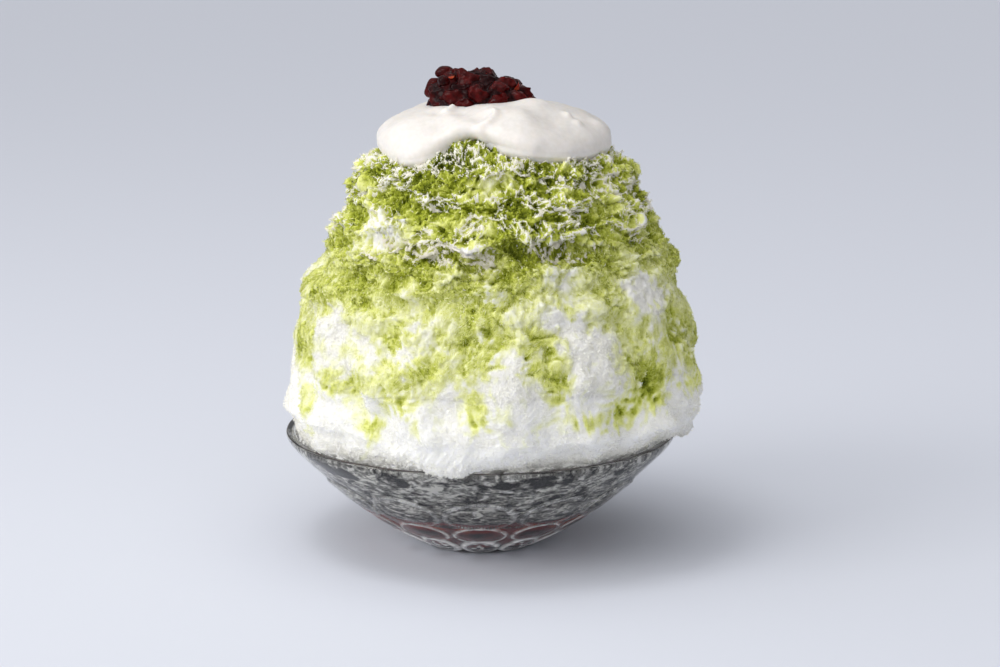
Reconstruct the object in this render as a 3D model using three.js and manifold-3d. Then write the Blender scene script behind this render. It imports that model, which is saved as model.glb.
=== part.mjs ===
// Kakigori: a tall mound of shaved ice soaked with matcha syrup. It stands in a pressed glass bowl
// on a layer of sweet azuki bean paste, under a cap of whipped cream and a spoonful of azuki beans.
// Millimetres, +Z up. The origin is the centre of the bowl's flat foot, and -Y is the front.
import * as THREE from 'three';
import Module from 'manifold-3d';

const wasm = await Module();
wasm.setup();

// Bowl
const FOOT_RADIUS = 21.5;
const WALL_RISE = 0.45; // rise of the outer wall for each mm out, at the foot
const WALL_STEEPENING = 0.0052; // and how much of it the wall gains on the way out
const WALL = 3.5;
const FLOOR_HEIGHT = 7.0; // top of the thick glass base, inside
const FLOOR_RADIUS = 24;
const SMOOTH_BAND_RADII = [64, 71, 77, 80]; // the plain band above the lenses, up to the lip
const RIM_RADIUS = 82.5;
const RIM_HEIGHT = 49.5;
const LENSES_AROUND = 12;
const LENS_SWELL = 1.0;
const LENS_ROWS = [
  { radius: 29.5, reach: 4.5, width: 13.6 },
  { radius: 41.0, reach: 6.7, width: 19.7 },
  { radius: 56.0, reach: 7.8, width: 26.0 },
];

// Azuki layer in the bowl: its edge is named by the outer wall's radius behind it
const PASTE_EDGE = 54.5;
const PASTE_EDGE_WAVE = 1.3;
const PASTE_CROWN = 1.2;

// Ice mound
const ICE_COLUMNS = 72;
const MOUND_RADIUS = 87.5;
const MOUND_BELLY_HEIGHT = 62; // where the mound is widest
const MOUND_TOP = 178;
const MOUND_SHIFT = 5.5; // the mound leans this far to +X off the bowl's axis
const MOUND_TAPER = 0.45;
const MOUND_TAPER_POWER = 1.6;
const MOUND_CROWN_POWER = 22;
const RELIEF_START = 51; // relief and lean grow from the rim up to the belly
const RELIEF_FULL = 62;
const CROWN_START = 168; // above this the ice is pressed smoother by what lies on it
const CROWN_PRESSED = 175;
const CROWN_SMOOTHING = 0.75;
const CROWN_CUT_RINGS = 9; // rings of the mound in the copy of the crown that cuts the cream

// Cream
const CREAM_CENTRE_X = 5.7;
const CREAM_RADIUS = 48.5;
const CREAM_EDGE_HEIGHT = 173.6; // height at which the cap is widest
const CREAM_DOME = 15.4;
const CREAM_LIP = 5.5; // how far the rounded edge hangs below its widest line

// Azuki topping
const HEAP_CENTRE = new THREE.Vector3(0.8, 2.0, 186.0);
const HEAP_RADII = new THREE.Vector3(21.5, 17.0, 13.0);
const HEAP_LEAN = 0.3; // how much higher the heap stands at -X than at +X
const HEAP_ROOT = 5; // how far the core reaches down before the cream's surface cuts it
const BEAN_RADII = new THREE.Vector3(4.5, 3.5, 3.3);
const BEANS = 22;
const BEAN_SEED = 7;

const GAP = 0.35; // between one piece and the next
const ICE_WALL_GAP = 0.55;
const PASTE_TOP_GAP = 0.6;

const TURN = 2 * Math.PI;
const GOLDEN_RATIO = 0.618034;
const GOLDEN_ANGLE = TURN * GOLDEN_RATIO;
const radians = THREE.MathUtils.degToRad;
const smoothstep = THREE.MathUtils.smoothstep;

// Angle from one direction to another, the short way round, in degrees.
function turnBetween(from, to) {
  return ((((to - from + 180) % 360) + 360) % 360) - 180;
}

function bell(distance, reach) {
  return Math.exp(-((distance / reach) ** 2));
}

// Closed surface from rings: a pole below, rings that run anticlockwise and upward, a pole above.
function ringSurface(columns, ringPoints, bottomPole, topPole) {
  const points = [bottomPole, ...ringPoints.flat(), topPole];
  const triangles = [];
  const at = (ring, column) => 1 + ring * columns + (column % columns);
  const last = ringPoints.length - 1;
  for (let column = 0; column < columns; column += 1) {
    triangles.push(0, at(0, column + 1), at(0, column));
    triangles.push(points.length - 1, at(last, column), at(last, column + 1));
  }
  for (let ring = 0; ring < last; ring += 1) {
    for (let column = 0; column < columns; column += 1) {
      const a = at(ring, column);
      const b = at(ring, column + 1);
      const c = at(ring + 1, column + 1);
      const d = at(ring + 1, column);
      if (points[a].distanceTo(points[c]) < points[b].distanceTo(points[d])) {
        triangles.push(a, b, c, a, c, d);
      } else {
        triangles.push(a, b, d, b, c, d);
      }
    }
  }
  return { points, triangles };
}

function makeRings(columns, rows, pointAt) {
  return rows.map((row, index) => (
    Array.from({ length: columns }, (_, column) => pointAt((column / columns) * TURN, row, index))
  ));
}

function polar(radius, angle, height, centreX = 0) {
  return new THREE.Vector3(centreX + radius * Math.cos(angle), radius * Math.sin(angle), height);
}

function toSolid({ points, triangles }) {
  const vertProperties = new Float32Array(points.flatMap((point) => point.toArray()));
  return new wasm.Manifold(new wasm.Mesh({
    numProp: 3,
    vertProperties,
    triVerts: new Uint32Array(triangles),
  }));
}

function toGeometry(solid) {
  const mesh = solid.getMesh();
  const geometry = new THREE.BufferGeometry();
  geometry.setAttribute('position', new THREE.BufferAttribute(mesh.vertProperties, 3));
  geometry.setIndex(new THREE.BufferAttribute(mesh.triVerts, 1));
  geometry.computeVertexNormals();
  return geometry;
}

// The largest body of a cut solid, without the loose scraps.
function largestBody(solid) {
  return solid.decompose().reduce((best, body) => (body.volume() > best.volume() ? body : best));
}

function makeMesh(name, solid, material) {
  const mesh = new THREE.Mesh(toGeometry(solid), new THREE.MeshStandardMaterial(material));
  mesh.name = name;
  return mesh;
}

// --- Glass bowl ---------------------------------------------------------------------------------

function outerWallHeight(radius) {
  const out = Math.max(radius - FOOT_RADIUS, 0);
  return WALL_RISE * out + WALL_STEEPENING * out ** 2;
}

// The outer wall's point moved in along the wall's normal.
function wallPoint(outerRadius, depth) {
  const slope = WALL_RISE + 2 * WALL_STEEPENING * Math.max(outerRadius - FOOT_RADIUS, 0);
  const length = Math.hypot(slope, 1);
  return {
    radius: outerRadius - (slope / length) * depth,
    height: outerWallHeight(outerRadius) + depth / length,
  };
}

// Swell of the oval lenses: a shallow dome on each, twelve to a row, all in line.
function lensSwell(radius, angle) {
  const pitch = TURN / LENSES_AROUND;
  const offset = angle + TURN / 4;
  const across = (offset - Math.round(offset / pitch) * pitch) * radius;
  let swell = 0;
  for (const row of LENS_ROWS) {
    const spread = ((radius - row.radius) / row.reach) ** 2 + ((2 * across) / row.width) ** 2;
    swell = Math.max(swell, LENS_SWELL * (1 - spread));
  }
  return swell;
}

function makeGlassBowl() {
  const columns = 7 * LENSES_AROUND;
  const lensRadii = LENS_ROWS.flatMap(({ radius, reach }) => (
    [-1, -0.55, 0, 0.55].map((share) => radius + share * reach)
  ));
  const wallRadii = [FOOT_RADIUS, ...lensRadii, ...SMOOTH_BAND_RADII];
  const wallRings = makeRings(columns, wallRadii, (angle, radius) => {
    const point = wallPoint(radius, -lensSwell(radius, angle));
    return polar(point.radius, angle, point.height);
  });
  const lip = [
    { radius: RIM_RADIUS - 0.5, height: RIM_HEIGHT - 2.7 },
    { radius: RIM_RADIUS, height: RIM_HEIGHT - 0.9 },
    { radius: RIM_RADIUS - 0.8, height: RIM_HEIGHT },
  ];
  const lipRings = makeRings(columns, lip, (angle, point) => polar(point.radius, angle, point.height));
  const body = ringSurface(
    columns,
    [...wallRings, ...lipRings],
    new THREE.Vector3(0, 0, 0),
    new THREE.Vector3(0, 0, RIM_HEIGHT),
  );

  const hollow = [
    { radius: FLOOR_RADIUS, height: FLOOR_HEIGHT },
    ...[31, 39, 48, 57, 67, 76].map((radius) => wallPoint(radius, WALL)),
    { radius: RIM_RADIUS - 4.7, height: RIM_HEIGHT - 2.7 },
    { radius: RIM_RADIUS - 3.2, height: RIM_HEIGHT - 0.6 },
    { radius: RIM_RADIUS - 2.4, height: RIM_HEIGHT + 1 },
  ];
  const hollowColumns = 4 * LENSES_AROUND;
  const hollowBody = ringSurface(
    hollowColumns,
    makeRings(hollowColumns, hollow, (angle, point) => polar(point.radius, angle, point.height)),
    new THREE.Vector3(0, 0, FLOOR_HEIGHT),
    new THREE.Vector3(0, 0, RIM_HEIGHT + 1),
  );
  return toSolid(body).subtract(toSolid(hollowBody));
}

// --- Azuki layer --------------------------------------------------------------------------------

// Height of the paste's edge against the glass: a slow wave round the bowl, higher at +X.
function pasteEdge(angle, depth) {
  const wave = PASTE_EDGE_WAVE * (0.7 * Math.cos(angle) + 0.4 * Math.sin(3 * angle + 1));
  return wallPoint(PASTE_EDGE + wave, depth);
}

function pasteTop(share, angle) {
  const edge = pasteEdge(angle, WALL + GAP);
  const middle = outerWallHeight(PASTE_EDGE) + WALL;
  return THREE.MathUtils.lerp(middle, edge.height, share ** 2) + PASTE_CROWN * (1 - share ** 2);
}

function makeAzukiBase() {
  const columns = 4 * LENSES_AROUND;
  const wallRings = makeRings(columns, [31, 39, 47], (angle, outerRadius) => {
    const point = wallPoint(outerRadius, WALL + GAP);
    return polar(point.radius, angle, point.height);
  });
  const floorRing = makeRings(columns, [FLOOR_RADIUS], (angle, radius) => (
    polar(radius, angle, FLOOR_HEIGHT + GAP)
  ));
  const topRings = makeRings(columns, [1, 0.75, 0.4], (angle, share) => (
    polar(pasteEdge(angle, WALL + GAP).radius * share, angle, pasteTop(share, angle))
  ));
  return toSolid(ringSurface(
    columns,
    [...floorRing, ...wallRings, ...topRings],
    new THREE.Vector3(0, 0, FLOOR_HEIGHT + GAP),
    new THREE.Vector3(0, 0, pasteTop(0, 0)),
  ));
}

// --- Shaved ice ---------------------------------------------------------------------------------

// Soft pillows and hollows of ice: angle, height, half width in degrees, half height, swell.
const FRONT_LOBES = [
  [-145, 103, 12, 9, 3.5],
  [-120, 88, 13, 10, 3.5],
  [-63, 85, 12, 11, 3.0],
  [-103, 69, 13, 10, 3.5],
  [-142, 64, 12, 8, 1.5],
  [-87, 93, 9, 9, 2.0],
  [-40, 64, 12, 8, 2.5],
  [-37, 115, 10, 8, 3.0],
  [-135, 147, 10, 8, 2.5],
  [-3, 108, 16, 5, -3.0],
  [2, 124, 16, 6, 5.0],
  [-93, 159, 11, 5, -4.0],
  [-119, 72, 4, 9, -3.5],
  [180, 72, 24, 12, -2.0],
  [180, 123, 20, 5, -3.5],
  [180, 141, 22, 12, -3.0],
];

// Ledges where a sheet of ice juts out over a hollow: angle, height, half width in degrees, reach.
const FRONT_LEDGES = [
  [-78, 140, 34, 4.5],
  [-163, 113, 24, 4.5],
  [-152, 159, 20, 3.0],
  [-44, 166, 15, 2.5],
  [-170, 130, 6, 3.0],
  [-112, 122, 14, 2.5],
];

// The far side has the same kind of lobes and ledges, spread evenly by the golden ratio.
function spreadRound(count, sector, make) {
  return Array.from({ length: count }, (_, index) => {
    const round = (index * GOLDEN_RATIO) % 1;
    const up = (index + 0.5) / count;
    return make(sector[0] + round * (sector[1] - sector[0]), up, index);
  });
}

const BACK_SECTOR = [22, 158];
const LOBES = [
  ...FRONT_LOBES,
  ...spreadRound(18, BACK_SECTOR, (angle, up, index) => (
    [angle, 66 + 96 * up, 11 + (index % 3) * 2, 8 + (index % 4), index % 5 === 2 ? -3 : 3]
  )),
];
const LEDGES = [
  ...FRONT_LEDGES,
  ...spreadRound(6, BACK_SECTOR, (angle, up, index) => (
    [angle, 100 + 66 * up, 20 + (index % 3) * 6, 3.5]
  )),
];

// Folds of the ice: waves round the mound, turn per mm of height, phase and depth. A positive depth
// gives round swells with sharp clefts between them, a negative one gives sharp crests.
// Clefts run down the soft lower half, and crests run round the craggy upper half.
const CLEFTS = [
  [9, 0.02, 0.4, 2.6],
  [14, -0.05, 1.9, 2.0],
  [7, 0.16, 3.1, 2.2],
  [17, 0.12, 4.4, 1.2],
];
const CRESTS = [
  [3, 0.34, 0.9, -2.2],
  [-4, 0.47, 2.3, -1.8],
  [11, -0.12, 4.1, 1.6],
  [-8, 0.62, 5.2, -1.2],
];
const CLEFTS_END = 88;
const CRESTS_FULL = 124;

// A ledge's section: it fades slowly above its edge, breaks off below and leaves a hollow there.
function ledgeSection(rise) {
  return bell(rise, rise > 0 ? 9 : 2.6) - 0.6 * bell(rise + 6, 4.5);
}

// Sum of folded sine waves that wander as they go.
function foldRelief(folds, angle, height) {
  return folds.reduce((sum, [around, up, phase, depth]) => {
    const wander = 0.7 * Math.sin(3 * angle + height / 14 + 2 * phase)
      + 0.35 * Math.sin(8 * angle - phase);
    const wave = Math.abs(Math.sin((around * angle + up * height) / 2 + phase + wander));
    return sum + depth * (wave - 2 / Math.PI);
  }, 0);
}

function iceRelief(angle, height) {
  const degrees = THREE.MathUtils.radToDeg(angle);
  let relief = THREE.MathUtils.lerp(
    foldRelief(CLEFTS, angle, height),
    foldRelief(CRESTS, angle, height),
    smoothstep(height, CLEFTS_END, CRESTS_FULL),
  );
  for (const [lobeAngle, lobeHeight, width, tall, swell] of LOBES) {
    relief += swell * bell(turnBetween(lobeAngle, degrees), width) * bell(height - lobeHeight, tall);
  }
  for (const [ledgeAngle, ledgeHeight, width, reach] of LEDGES) {
    const wander = 2.5 * Math.sin(5 * angle + ledgeHeight);
    const side = bell(turnBetween(ledgeAngle, degrees), width);
    relief += reach * side * ledgeSection(height - ledgeHeight - wander);
  }
  return relief;
}

// Radius of the bare mound about its own axis: a belly, a tapering side and a rounded crown.
function moundRadius(height) {
  const rise = THREE.MathUtils.clamp((height - MOUND_BELLY_HEIGHT) / (MOUND_TOP - MOUND_BELLY_HEIGHT), 0, 1);
  const taper = 1 - MOUND_TAPER * rise ** MOUND_TAPER_POWER;
  return MOUND_RADIUS * taper * Math.sqrt(1 - rise ** MOUND_CROWN_POWER);
}

function moundShift(height) {
  return MOUND_SHIFT * smoothstep(height, RELIEF_START, RELIEF_FULL);
}

function mound(angle, height, inflate) {
  const settled = 1 - CROWN_SMOOTHING * smoothstep(height, CROWN_START, CROWN_PRESSED);
  const relief = smoothstep(height, RELIEF_START, RELIEF_FULL) * settled * iceRelief(angle, height);
  const crown = smoothstep(height, CROWN_START, MOUND_TOP);
  const radius = Math.max(moundRadius(height) + relief + inflate, 1);
  return polar(radius, angle, height + inflate * crown, moundShift(height));
}

// How far the ice spills over the rim: a wide frill at +X and a small tongue at the front.
function spill(angle) {
  const degrees = THREE.MathUtils.radToDeg(angle);
  const frill = bell(turnBetween(2, degrees), 19);
  const tongue = 0.75 * bell(turnBetween(-98, degrees), 6);
  return Math.min(frill + tongue, 1);
}

// The ice's edge over the rim, from inside the rim out to the belly: where it stays in, and spilled.
const EDGE_ROWS = [
  { kept: [79.8, 50.6], spilled: [81.0, 50.3] },
  { kept: [81.0, 52.6], spilled: [83.8, 50.2] },
  { kept: [82.6, 55.0], spilled: [85.3, 45.0] },
  { kept: [84.9, 58.4], spilled: [89.0, 48.5] },
];

function iceEdge(angle, { kept, spilled }) {
  const share = spill(angle);
  const [radius, height] = kept.map((value, axis) => THREE.MathUtils.lerp(value, spilled[axis], share));
  const drift = 0.5 * Math.sin(9 * angle) * (1 - share) * smoothstep(height, 51, 55);
  return polar(radius + drift, angle, height, moundShift(height));
}

// Heights of the mound's rings: even steps up the side, then two that close the crown.
function iceHeights() {
  const steps = 25;
  const side = Array.from({ length: steps + 1 }, (_, index) => (
    THREE.MathUtils.lerp(MOUND_BELLY_HEIGHT, CROWN_START, index / steps)
  ));
  return [...side, 172, 175.5];
}

// The mound's rings. Every second one is turned by half a column, so that the facets make no grid.
function moundRings(inflate) {
  const halfColumn = TURN / ICE_COLUMNS / 2;
  return makeRings(ICE_COLUMNS, iceHeights(), (angle, height, index) => (
    mound(angle + (index % 2) * halfColumn, height, inflate)
  ));
}

function makeShavedIce() {
  const columns = ICE_COLUMNS;
  const inBowl = WALL + ICE_WALL_GAP;
  const bottomRings = makeRings(columns, [0.5, 1], (angle, share) => {
    const edge = pasteEdge(angle, inBowl);
    return polar(edge.radius * share, angle, pasteTop(share, angle) + PASTE_TOP_GAP);
  });
  const wallRings = makeRings(columns, [61, 68, 76], (angle, outerRadius) => {
    const point = wallPoint(outerRadius, inBowl);
    return polar(point.radius, angle, point.height);
  });
  const neck = [
    { radius: RIM_RADIUS - 5.3, height: RIM_HEIGHT - 2.6 },
    { radius: RIM_RADIUS - 3.8, height: RIM_HEIGHT - 0.3 },
  ];
  const neckRings = makeRings(columns, neck, (angle, point) => polar(point.radius, angle, point.height));
  const edgeRings = makeRings(columns, EDGE_ROWS, iceEdge);
  return toSolid(ringSurface(
    columns,
    [...bottomRings, ...wallRings, ...neckRings, ...edgeRings, ...moundRings(0)],
    new THREE.Vector3(0, 0, pasteTop(0, 0) + PASTE_TOP_GAP),
    new THREE.Vector3(MOUND_SHIFT, 0, MOUND_TOP),
  ));
}

// The mound's upper half, a gap larger all round, to cut what lies on it.
function makeInflatedCrown() {
  const rings = moundRings(GAP).slice(-CROWN_CUT_RINGS);
  return toSolid(ringSurface(
    ICE_COLUMNS,
    rings,
    new THREE.Vector3(MOUND_SHIFT, 0, rings[0][0].z),
    new THREE.Vector3(MOUND_SHIFT, 0, MOUND_TOP + GAP),
  ));
}

// --- Cream cap ----------------------------------------------------------------------------------

// Scallops of the cream's edge: angle, half width in degrees, how far it runs out, how far it sags.
const CREAM_SCALLOPS = [
  [-137, 22, 1.5, 5.5],
  [-96, 22, -15.0, -4.0],
  [-45, 26, 1.5, 2.5],
  [10, 18, 0.0, -1.0],
  [55, 24, 1.5, 4.0],
  [100, 18, -3.0, -2.0],
  [150, 24, 1.0, 3.0],
];

// Soft swells and dents of its top: x and y from the cap's centre, half width, height.
const CREAM_SWELLS = [
  [-24, -16, 10, 1.2],
  [4, -22, 12, 1.6],
  [30, -12, 9, 1.0],
  [-6, -30, 6, -1.0],
  [-5, 2, 18, -2.2],
  [14, 26, 12, 1.4],
  [-22, 20, 11, 1.2],
];

function creamEdge(angle) {
  const degrees = THREE.MathUtils.radToDeg(angle);
  let out = 0;
  let sag = 0;
  for (const [scallopAngle, width, run, drop] of CREAM_SCALLOPS) {
    const side = bell(turnBetween(scallopAngle, degrees), width);
    out += run * side;
    sag += drop * side;
  }
  return { radius: CREAM_RADIUS + out, height: CREAM_EDGE_HEIGHT - sag };
}

// A point of the domed top; share runs from 0 at the middle to 1 at the edge, where scallops show.
function creamPoint(angle, share, inflate = 0) {
  const edge = creamEdge(angle);
  const reach = THREE.MathUtils.lerp(CREAM_RADIUS, edge.radius, share ** 2) + inflate;
  const base = THREE.MathUtils.lerp(CREAM_EDGE_HEIGHT, edge.height, share ** 2);
  const radius = reach * Math.sin((share * Math.PI) / 2);
  const x = radius * Math.cos(angle);
  const y = radius * Math.sin(angle);
  let height = base + CREAM_DOME * Math.cos((share * Math.PI) / 2);
  for (const [swellX, swellY, width, swell] of CREAM_SWELLS) {
    height += swell * bell(Math.hypot(x - swellX, y - swellY), width);
  }
  return new THREE.Vector3(CREAM_CENTRE_X + x, y, height + inflate);
}

function makeCreamBlob(inflate) {
  const columns = 48;
  const underRings = makeRings(columns, [0.55, 0.93], (angle, share) => {
    const edge = creamEdge(angle);
    return polar(edge.radius * share, angle, edge.height - CREAM_LIP, CREAM_CENTRE_X);
  });
  const sideRing = makeRings(columns, [1], (angle) => {
    const edge = creamEdge(angle);
    return polar(edge.radius + inflate, angle, edge.height - 0.45 * CREAM_LIP, CREAM_CENTRE_X);
  });
  const topShares = [1, 0.9, 0.79, 0.66, 0.53, 0.4, 0.26, 0.13];
  const topRings = makeRings(columns, topShares, (angle, share) => creamPoint(angle, share, inflate));
  return toSolid(ringSurface(
    columns,
    [...underRings, ...sideRing, ...topRings],
    new THREE.Vector3(CREAM_CENTRE_X, 0, CREAM_EDGE_HEIGHT - CREAM_LIP),
    creamPoint(0, 0, inflate),
  ));
}

function makeCreamCap() {
  return largestBody(makeCreamBlob(0).subtract(makeInflatedCrown()));
}

// --- Azuki topping ------------------------------------------------------------------------------

// Repeatable draws between 0 and 1.
function drawsFrom(seed) {
  let state = seed;
  return () => {
    state = (state * 16807) % 2147483647;
    return state / 2147483647;
  };
}

function ellipsoid(columns, rings, centre, radii, turn) {
  const place = (direction) => direction.multiply(radii).applyQuaternion(turn).add(centre);
  const lifts = Array.from({ length: rings }, (_, index) => (
    Math.PI * ((index + 1) / (rings + 1) - 0.5)
  ));
  return ringSurface(
    columns,
    makeRings(columns, lifts, (angle, lift) => place(polar(Math.cos(lift), angle, Math.sin(lift)))),
    place(new THREE.Vector3(0, 0, -1)),
    place(new THREE.Vector3(0, 0, 1)),
  );
}

// The heap's surface: steep and high at -X, a rounded top, then a long fall to +X.
function heapPoint(angle, lift) {
  const flat = Math.cos(lift) ** 0.8;
  const lean = 1 - HEAP_LEAN * flat * Math.cos(angle);
  return new THREE.Vector3(flat * Math.cos(angle), flat * Math.sin(angle), Math.sin(lift) * lean)
    .multiply(HEAP_RADII)
    .add(HEAP_CENTRE);
}

function makeHeapCore() {
  const columns = 16;
  const lifts = [-25, 0, 25, 48, 68].map(radians);
  return toSolid(ringSurface(
    columns,
    makeRings(columns, lifts, heapPoint),
    HEAP_CENTRE.clone().setZ(HEAP_CENTRE.z - HEAP_ROOT),
    heapPoint(0, radians(90)),
  ));
}

function makeAzukiTopping() {
  const draw = drawsFrom(BEAN_SEED);
  let heap = makeHeapCore();
  for (let index = 0; index < BEANS; index += 1) {
    const share = (index + 0.5) / BEANS;
    const centre = heapPoint(index * GOLDEN_ANGLE, Math.asin(0.12 + 0.88 * share));
    centre.z += draw() * 0.8 - 0.6;
    const turn = new THREE.Quaternion().setFromEuler(new THREE.Euler(
      (draw() - 0.5) * 1.4,
      (draw() - 0.5) * 1.4,
      draw() * TURN,
    ));
    heap = heap.add(toSolid(ellipsoid(5, 3, centre, BEAN_RADII, turn)));
  }
  return largestBody(heap.subtract(makeCreamBlob(GAP)));
}

// --- The whole ----------------------------------------------------------------------------------

const kakigori = new THREE.Group();
kakigori.name = 'kakigori';
kakigori.add(
  makeMesh('glass_bowl', makeGlassBowl(), {
    color: 0xdfe6e6,
    roughness: 0.04,
    metalness: 0,
    transparent: true,
    opacity: 0.35,
  }),
  makeMesh('azuki_base', makeAzukiBase(), { color: 0x5a2422, roughness: 0.45, metalness: 0 }),
  makeMesh('shaved_ice', makeShavedIce(), { color: 0xb9c47c, roughness: 0.85, metalness: 0 }),
  makeMesh('cream_cap', makeCreamCap(), { color: 0xf7f4ec, roughness: 0.5, metalness: 0 }),
  makeMesh('azuki_topping', makeAzukiTopping(), { color: 0x4a1a1c, roughness: 0.25, metalness: 0 }),
);

export default kakigori;
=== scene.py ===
# %% [markdown]
# # Kakigori: shaved ice in a glass bowl
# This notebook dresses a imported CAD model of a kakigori: a tall mound of shaved ice with matcha
# syrup, in a pressed glass bowl, with sweet azuki beans below and on top and a cap of soft cream.
# The CAD model fixes every size. Here each solid gets the surface that the eye expects.

import itertools
import math

import bpy
import numpy as np
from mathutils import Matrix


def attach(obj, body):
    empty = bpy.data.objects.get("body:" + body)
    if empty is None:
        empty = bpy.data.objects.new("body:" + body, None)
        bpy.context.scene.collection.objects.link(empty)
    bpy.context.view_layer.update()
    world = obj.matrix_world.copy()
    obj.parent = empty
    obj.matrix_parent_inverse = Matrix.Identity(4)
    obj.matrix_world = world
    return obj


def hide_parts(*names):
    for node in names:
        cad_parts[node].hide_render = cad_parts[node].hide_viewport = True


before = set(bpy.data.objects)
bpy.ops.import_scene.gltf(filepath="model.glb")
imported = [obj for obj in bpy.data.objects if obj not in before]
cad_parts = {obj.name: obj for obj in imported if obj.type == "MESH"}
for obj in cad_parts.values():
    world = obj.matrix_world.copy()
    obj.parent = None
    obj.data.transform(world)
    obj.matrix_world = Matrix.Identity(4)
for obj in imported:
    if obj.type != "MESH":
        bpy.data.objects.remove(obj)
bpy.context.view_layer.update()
print("CAD nodes:", sorted(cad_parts))

# %% [markdown]
# ## Small tools
# All shapes below are worked out in millimetres with numpy, as whole arrays, and become metres only
# when they are put into a mesh. A few plain functions are used again and again: a soft step, a bell,
# the short way between two angles, a blend, points round an axis, and vectors of length one.

# %% Soft steps, bells and angles
MM = 0.001
TURN = 2 * math.pi
GOLDEN_RATIO = 0.618034


def soft_step(value, start, end):
    """0 up to start, 1 from end on, and 3t^2 - 2t^3 between them."""
    share = np.clip((value - start) / (end - start), 0, 1)
    return share * share * (3 - 2 * share)


def bell(distance, reach):
    """e to the power of minus the square of distance over reach."""
    return np.exp(-((distance / reach) ** 2))


def turn_between(start, end):
    """Angle from start to end in degrees, the short way round."""
    return (end - start + 180) % 360 - 180


def mix(first, second, share):
    """Straight blend from first to second."""
    return first + (second - first) * share


def polar(radius, angle, height, centre_x=0.0):
    """Points at a radius and angle about an upright axis that stands at x = centre_x."""
    x = centre_x + radius * np.cos(angle)
    y = radius * np.sin(angle)
    return np.stack(np.broadcast_arrays(x, y, height), axis=-1)


def angles_round(count):
    """Angles once round, in even steps."""
    return np.arange(count) / count * TURN


def unit(vectors):
    """Vectors scaled to a length of one."""
    return vectors / (np.linalg.norm(vectors, axis=-1, keepdims=True) + 1e-9)


# %% [markdown]
# Everything irregular here is gradient noise. It gives each corner of a grid of unit cells a random
# direction, and a point takes the blend of eight dot products, one for each corner of its cell.
# Dividing the points by a size in millimetres gives lumps of that size, and different sizes for x, y
# and z give flat or long lumps.

# %% Noise
DIRECTIONS = np.random.default_rng(3).normal(size=(256, 3)).astype(np.float32)
DIRECTIONS /= np.linalg.norm(DIRECTIONS, axis=1, keepdims=True)
CORNERS = np.array(list(itertools.product((0, 1), repeat=3)))
SCATTERING = np.array([73856093, 19349663, 83492791], np.uint32)  # large odd numbers for x, y, z
MIXING = np.uint32(1274126177)
SEED_SHIFT = 31.7  # each seed reads the noise this many cells further on
NOISE_GAIN = 1.6


def noise(points, size, seed=0):
    """Gradient noise of about -1 to 1 with lumps of the given size in mm, one number or three."""
    scaled = (np.asarray(points) / np.asarray(size) + SEED_SHIFT * seed).astype(np.float32)
    cell = np.floor(scaled)
    offset = scaled - cell
    cell = cell.astype(np.uint32)
    fade = offset**3 * (offset * (offset * 6 - 15) + 10)
    total = np.zeros(scaled.shape[:-1], np.float32)
    for corner in CORNERS:
        key = (cell + corner.astype(np.uint32)) * SCATTERING
        mixed = key[..., 0] ^ key[..., 1] ^ key[..., 2]
        mixed = (mixed ^ (mixed >> 13)) * MIXING
        direction = DIRECTIONS[(mixed ^ (mixed >> 16)) & 255]
        weight = np.prod(np.where(corner, fade, 1 - fade), axis=-1)
        total += weight * np.sum(direction * (offset - corner), axis=-1)
    return NOISE_GAIN * total


def noise_vector(points, size, seed=0):
    """Three noises at once, to push points about."""
    return np.stack([noise(points, size, seed + shift) for shift in (0.0, 5.3, 9.1)], axis=-1)


def ridge(points, size, seed=0):
    """1 along the thin sheets where the noise is zero, falling to 0 away from them."""
    return 1 - np.clip(2.1 * np.abs(noise(points, size, seed)), 0, 1)


# %% [markdown]
# A surface is a stack of rings. Each ring has the same number of points, neighbours are joined by
# quads, and a single point closes each end, so that every piece is one closed skin with its faces
# outwards. The mesh takes its vertices and loops in one go from numpy arrays.

# %% Meshes from rings
def ring_faces(ring_count, columns):
    """Quads between rings of `columns` points, and triangles to a pole before and after them."""
    first = 1 + np.arange(ring_count - 1)[:, None] * columns
    column = np.arange(columns)
    after = (column + 1) % columns
    quads = np.stack([
        first + column,
        first + after,
        first + columns + after,
        first + columns + column,
    ], axis=-1).reshape(-1, 4)
    last = 1 + (ring_count - 1) * columns
    pole = last + columns
    below = np.stack([np.zeros(columns, int), 1 + after, 1 + column], axis=-1)
    above = np.stack([np.full(columns, pole), last + column, last + after], axis=-1)
    return quads, np.concatenate([below, above])


def new_piece(name, points, quads, triangles, smooth=True):
    """A mesh object at the origin, from points in mm and arrays of quads and triangles."""
    corners = np.concatenate([quads.reshape(-1), triangles.reshape(-1)]).astype(np.int32)
    sizes = np.concatenate([np.full(len(quads), 4), np.full(len(triangles), 3)])
    starts = np.concatenate([[0], np.cumsum(sizes)[:-1]]).astype(np.int32)
    mesh = bpy.data.meshes.new(name)
    mesh.vertices.add(len(points))
    mesh.vertices.foreach_set("co", (points * MM).astype(np.float32).ravel())
    mesh.loops.add(len(corners))
    mesh.loops.foreach_set("vertex_index", corners)
    mesh.polygons.add(len(starts))
    mesh.polygons.foreach_set("loop_start", starts)
    mesh.polygons.foreach_set("use_smooth", np.full(len(starts), smooth))
    mesh.update(calc_edges=True)
    piece = bpy.data.objects.new(name, mesh)
    bpy.context.scene.collection.objects.link(piece)
    print(f"{name}: {len(points)} points, {int(np.sum(sizes - 2))} triangles")
    return piece


def ring_piece(name, rings, bottom, top, smooth=True):
    """A closed piece from rings of shape (ring, column, xyz) and the two points that close it."""
    points = np.concatenate([[bottom], rings.reshape(-1, 3), [top]])
    quads, triangles = ring_faces(rings.shape[0], rings.shape[1])
    return new_piece(name, points, quads, triangles, smooth)


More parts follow.
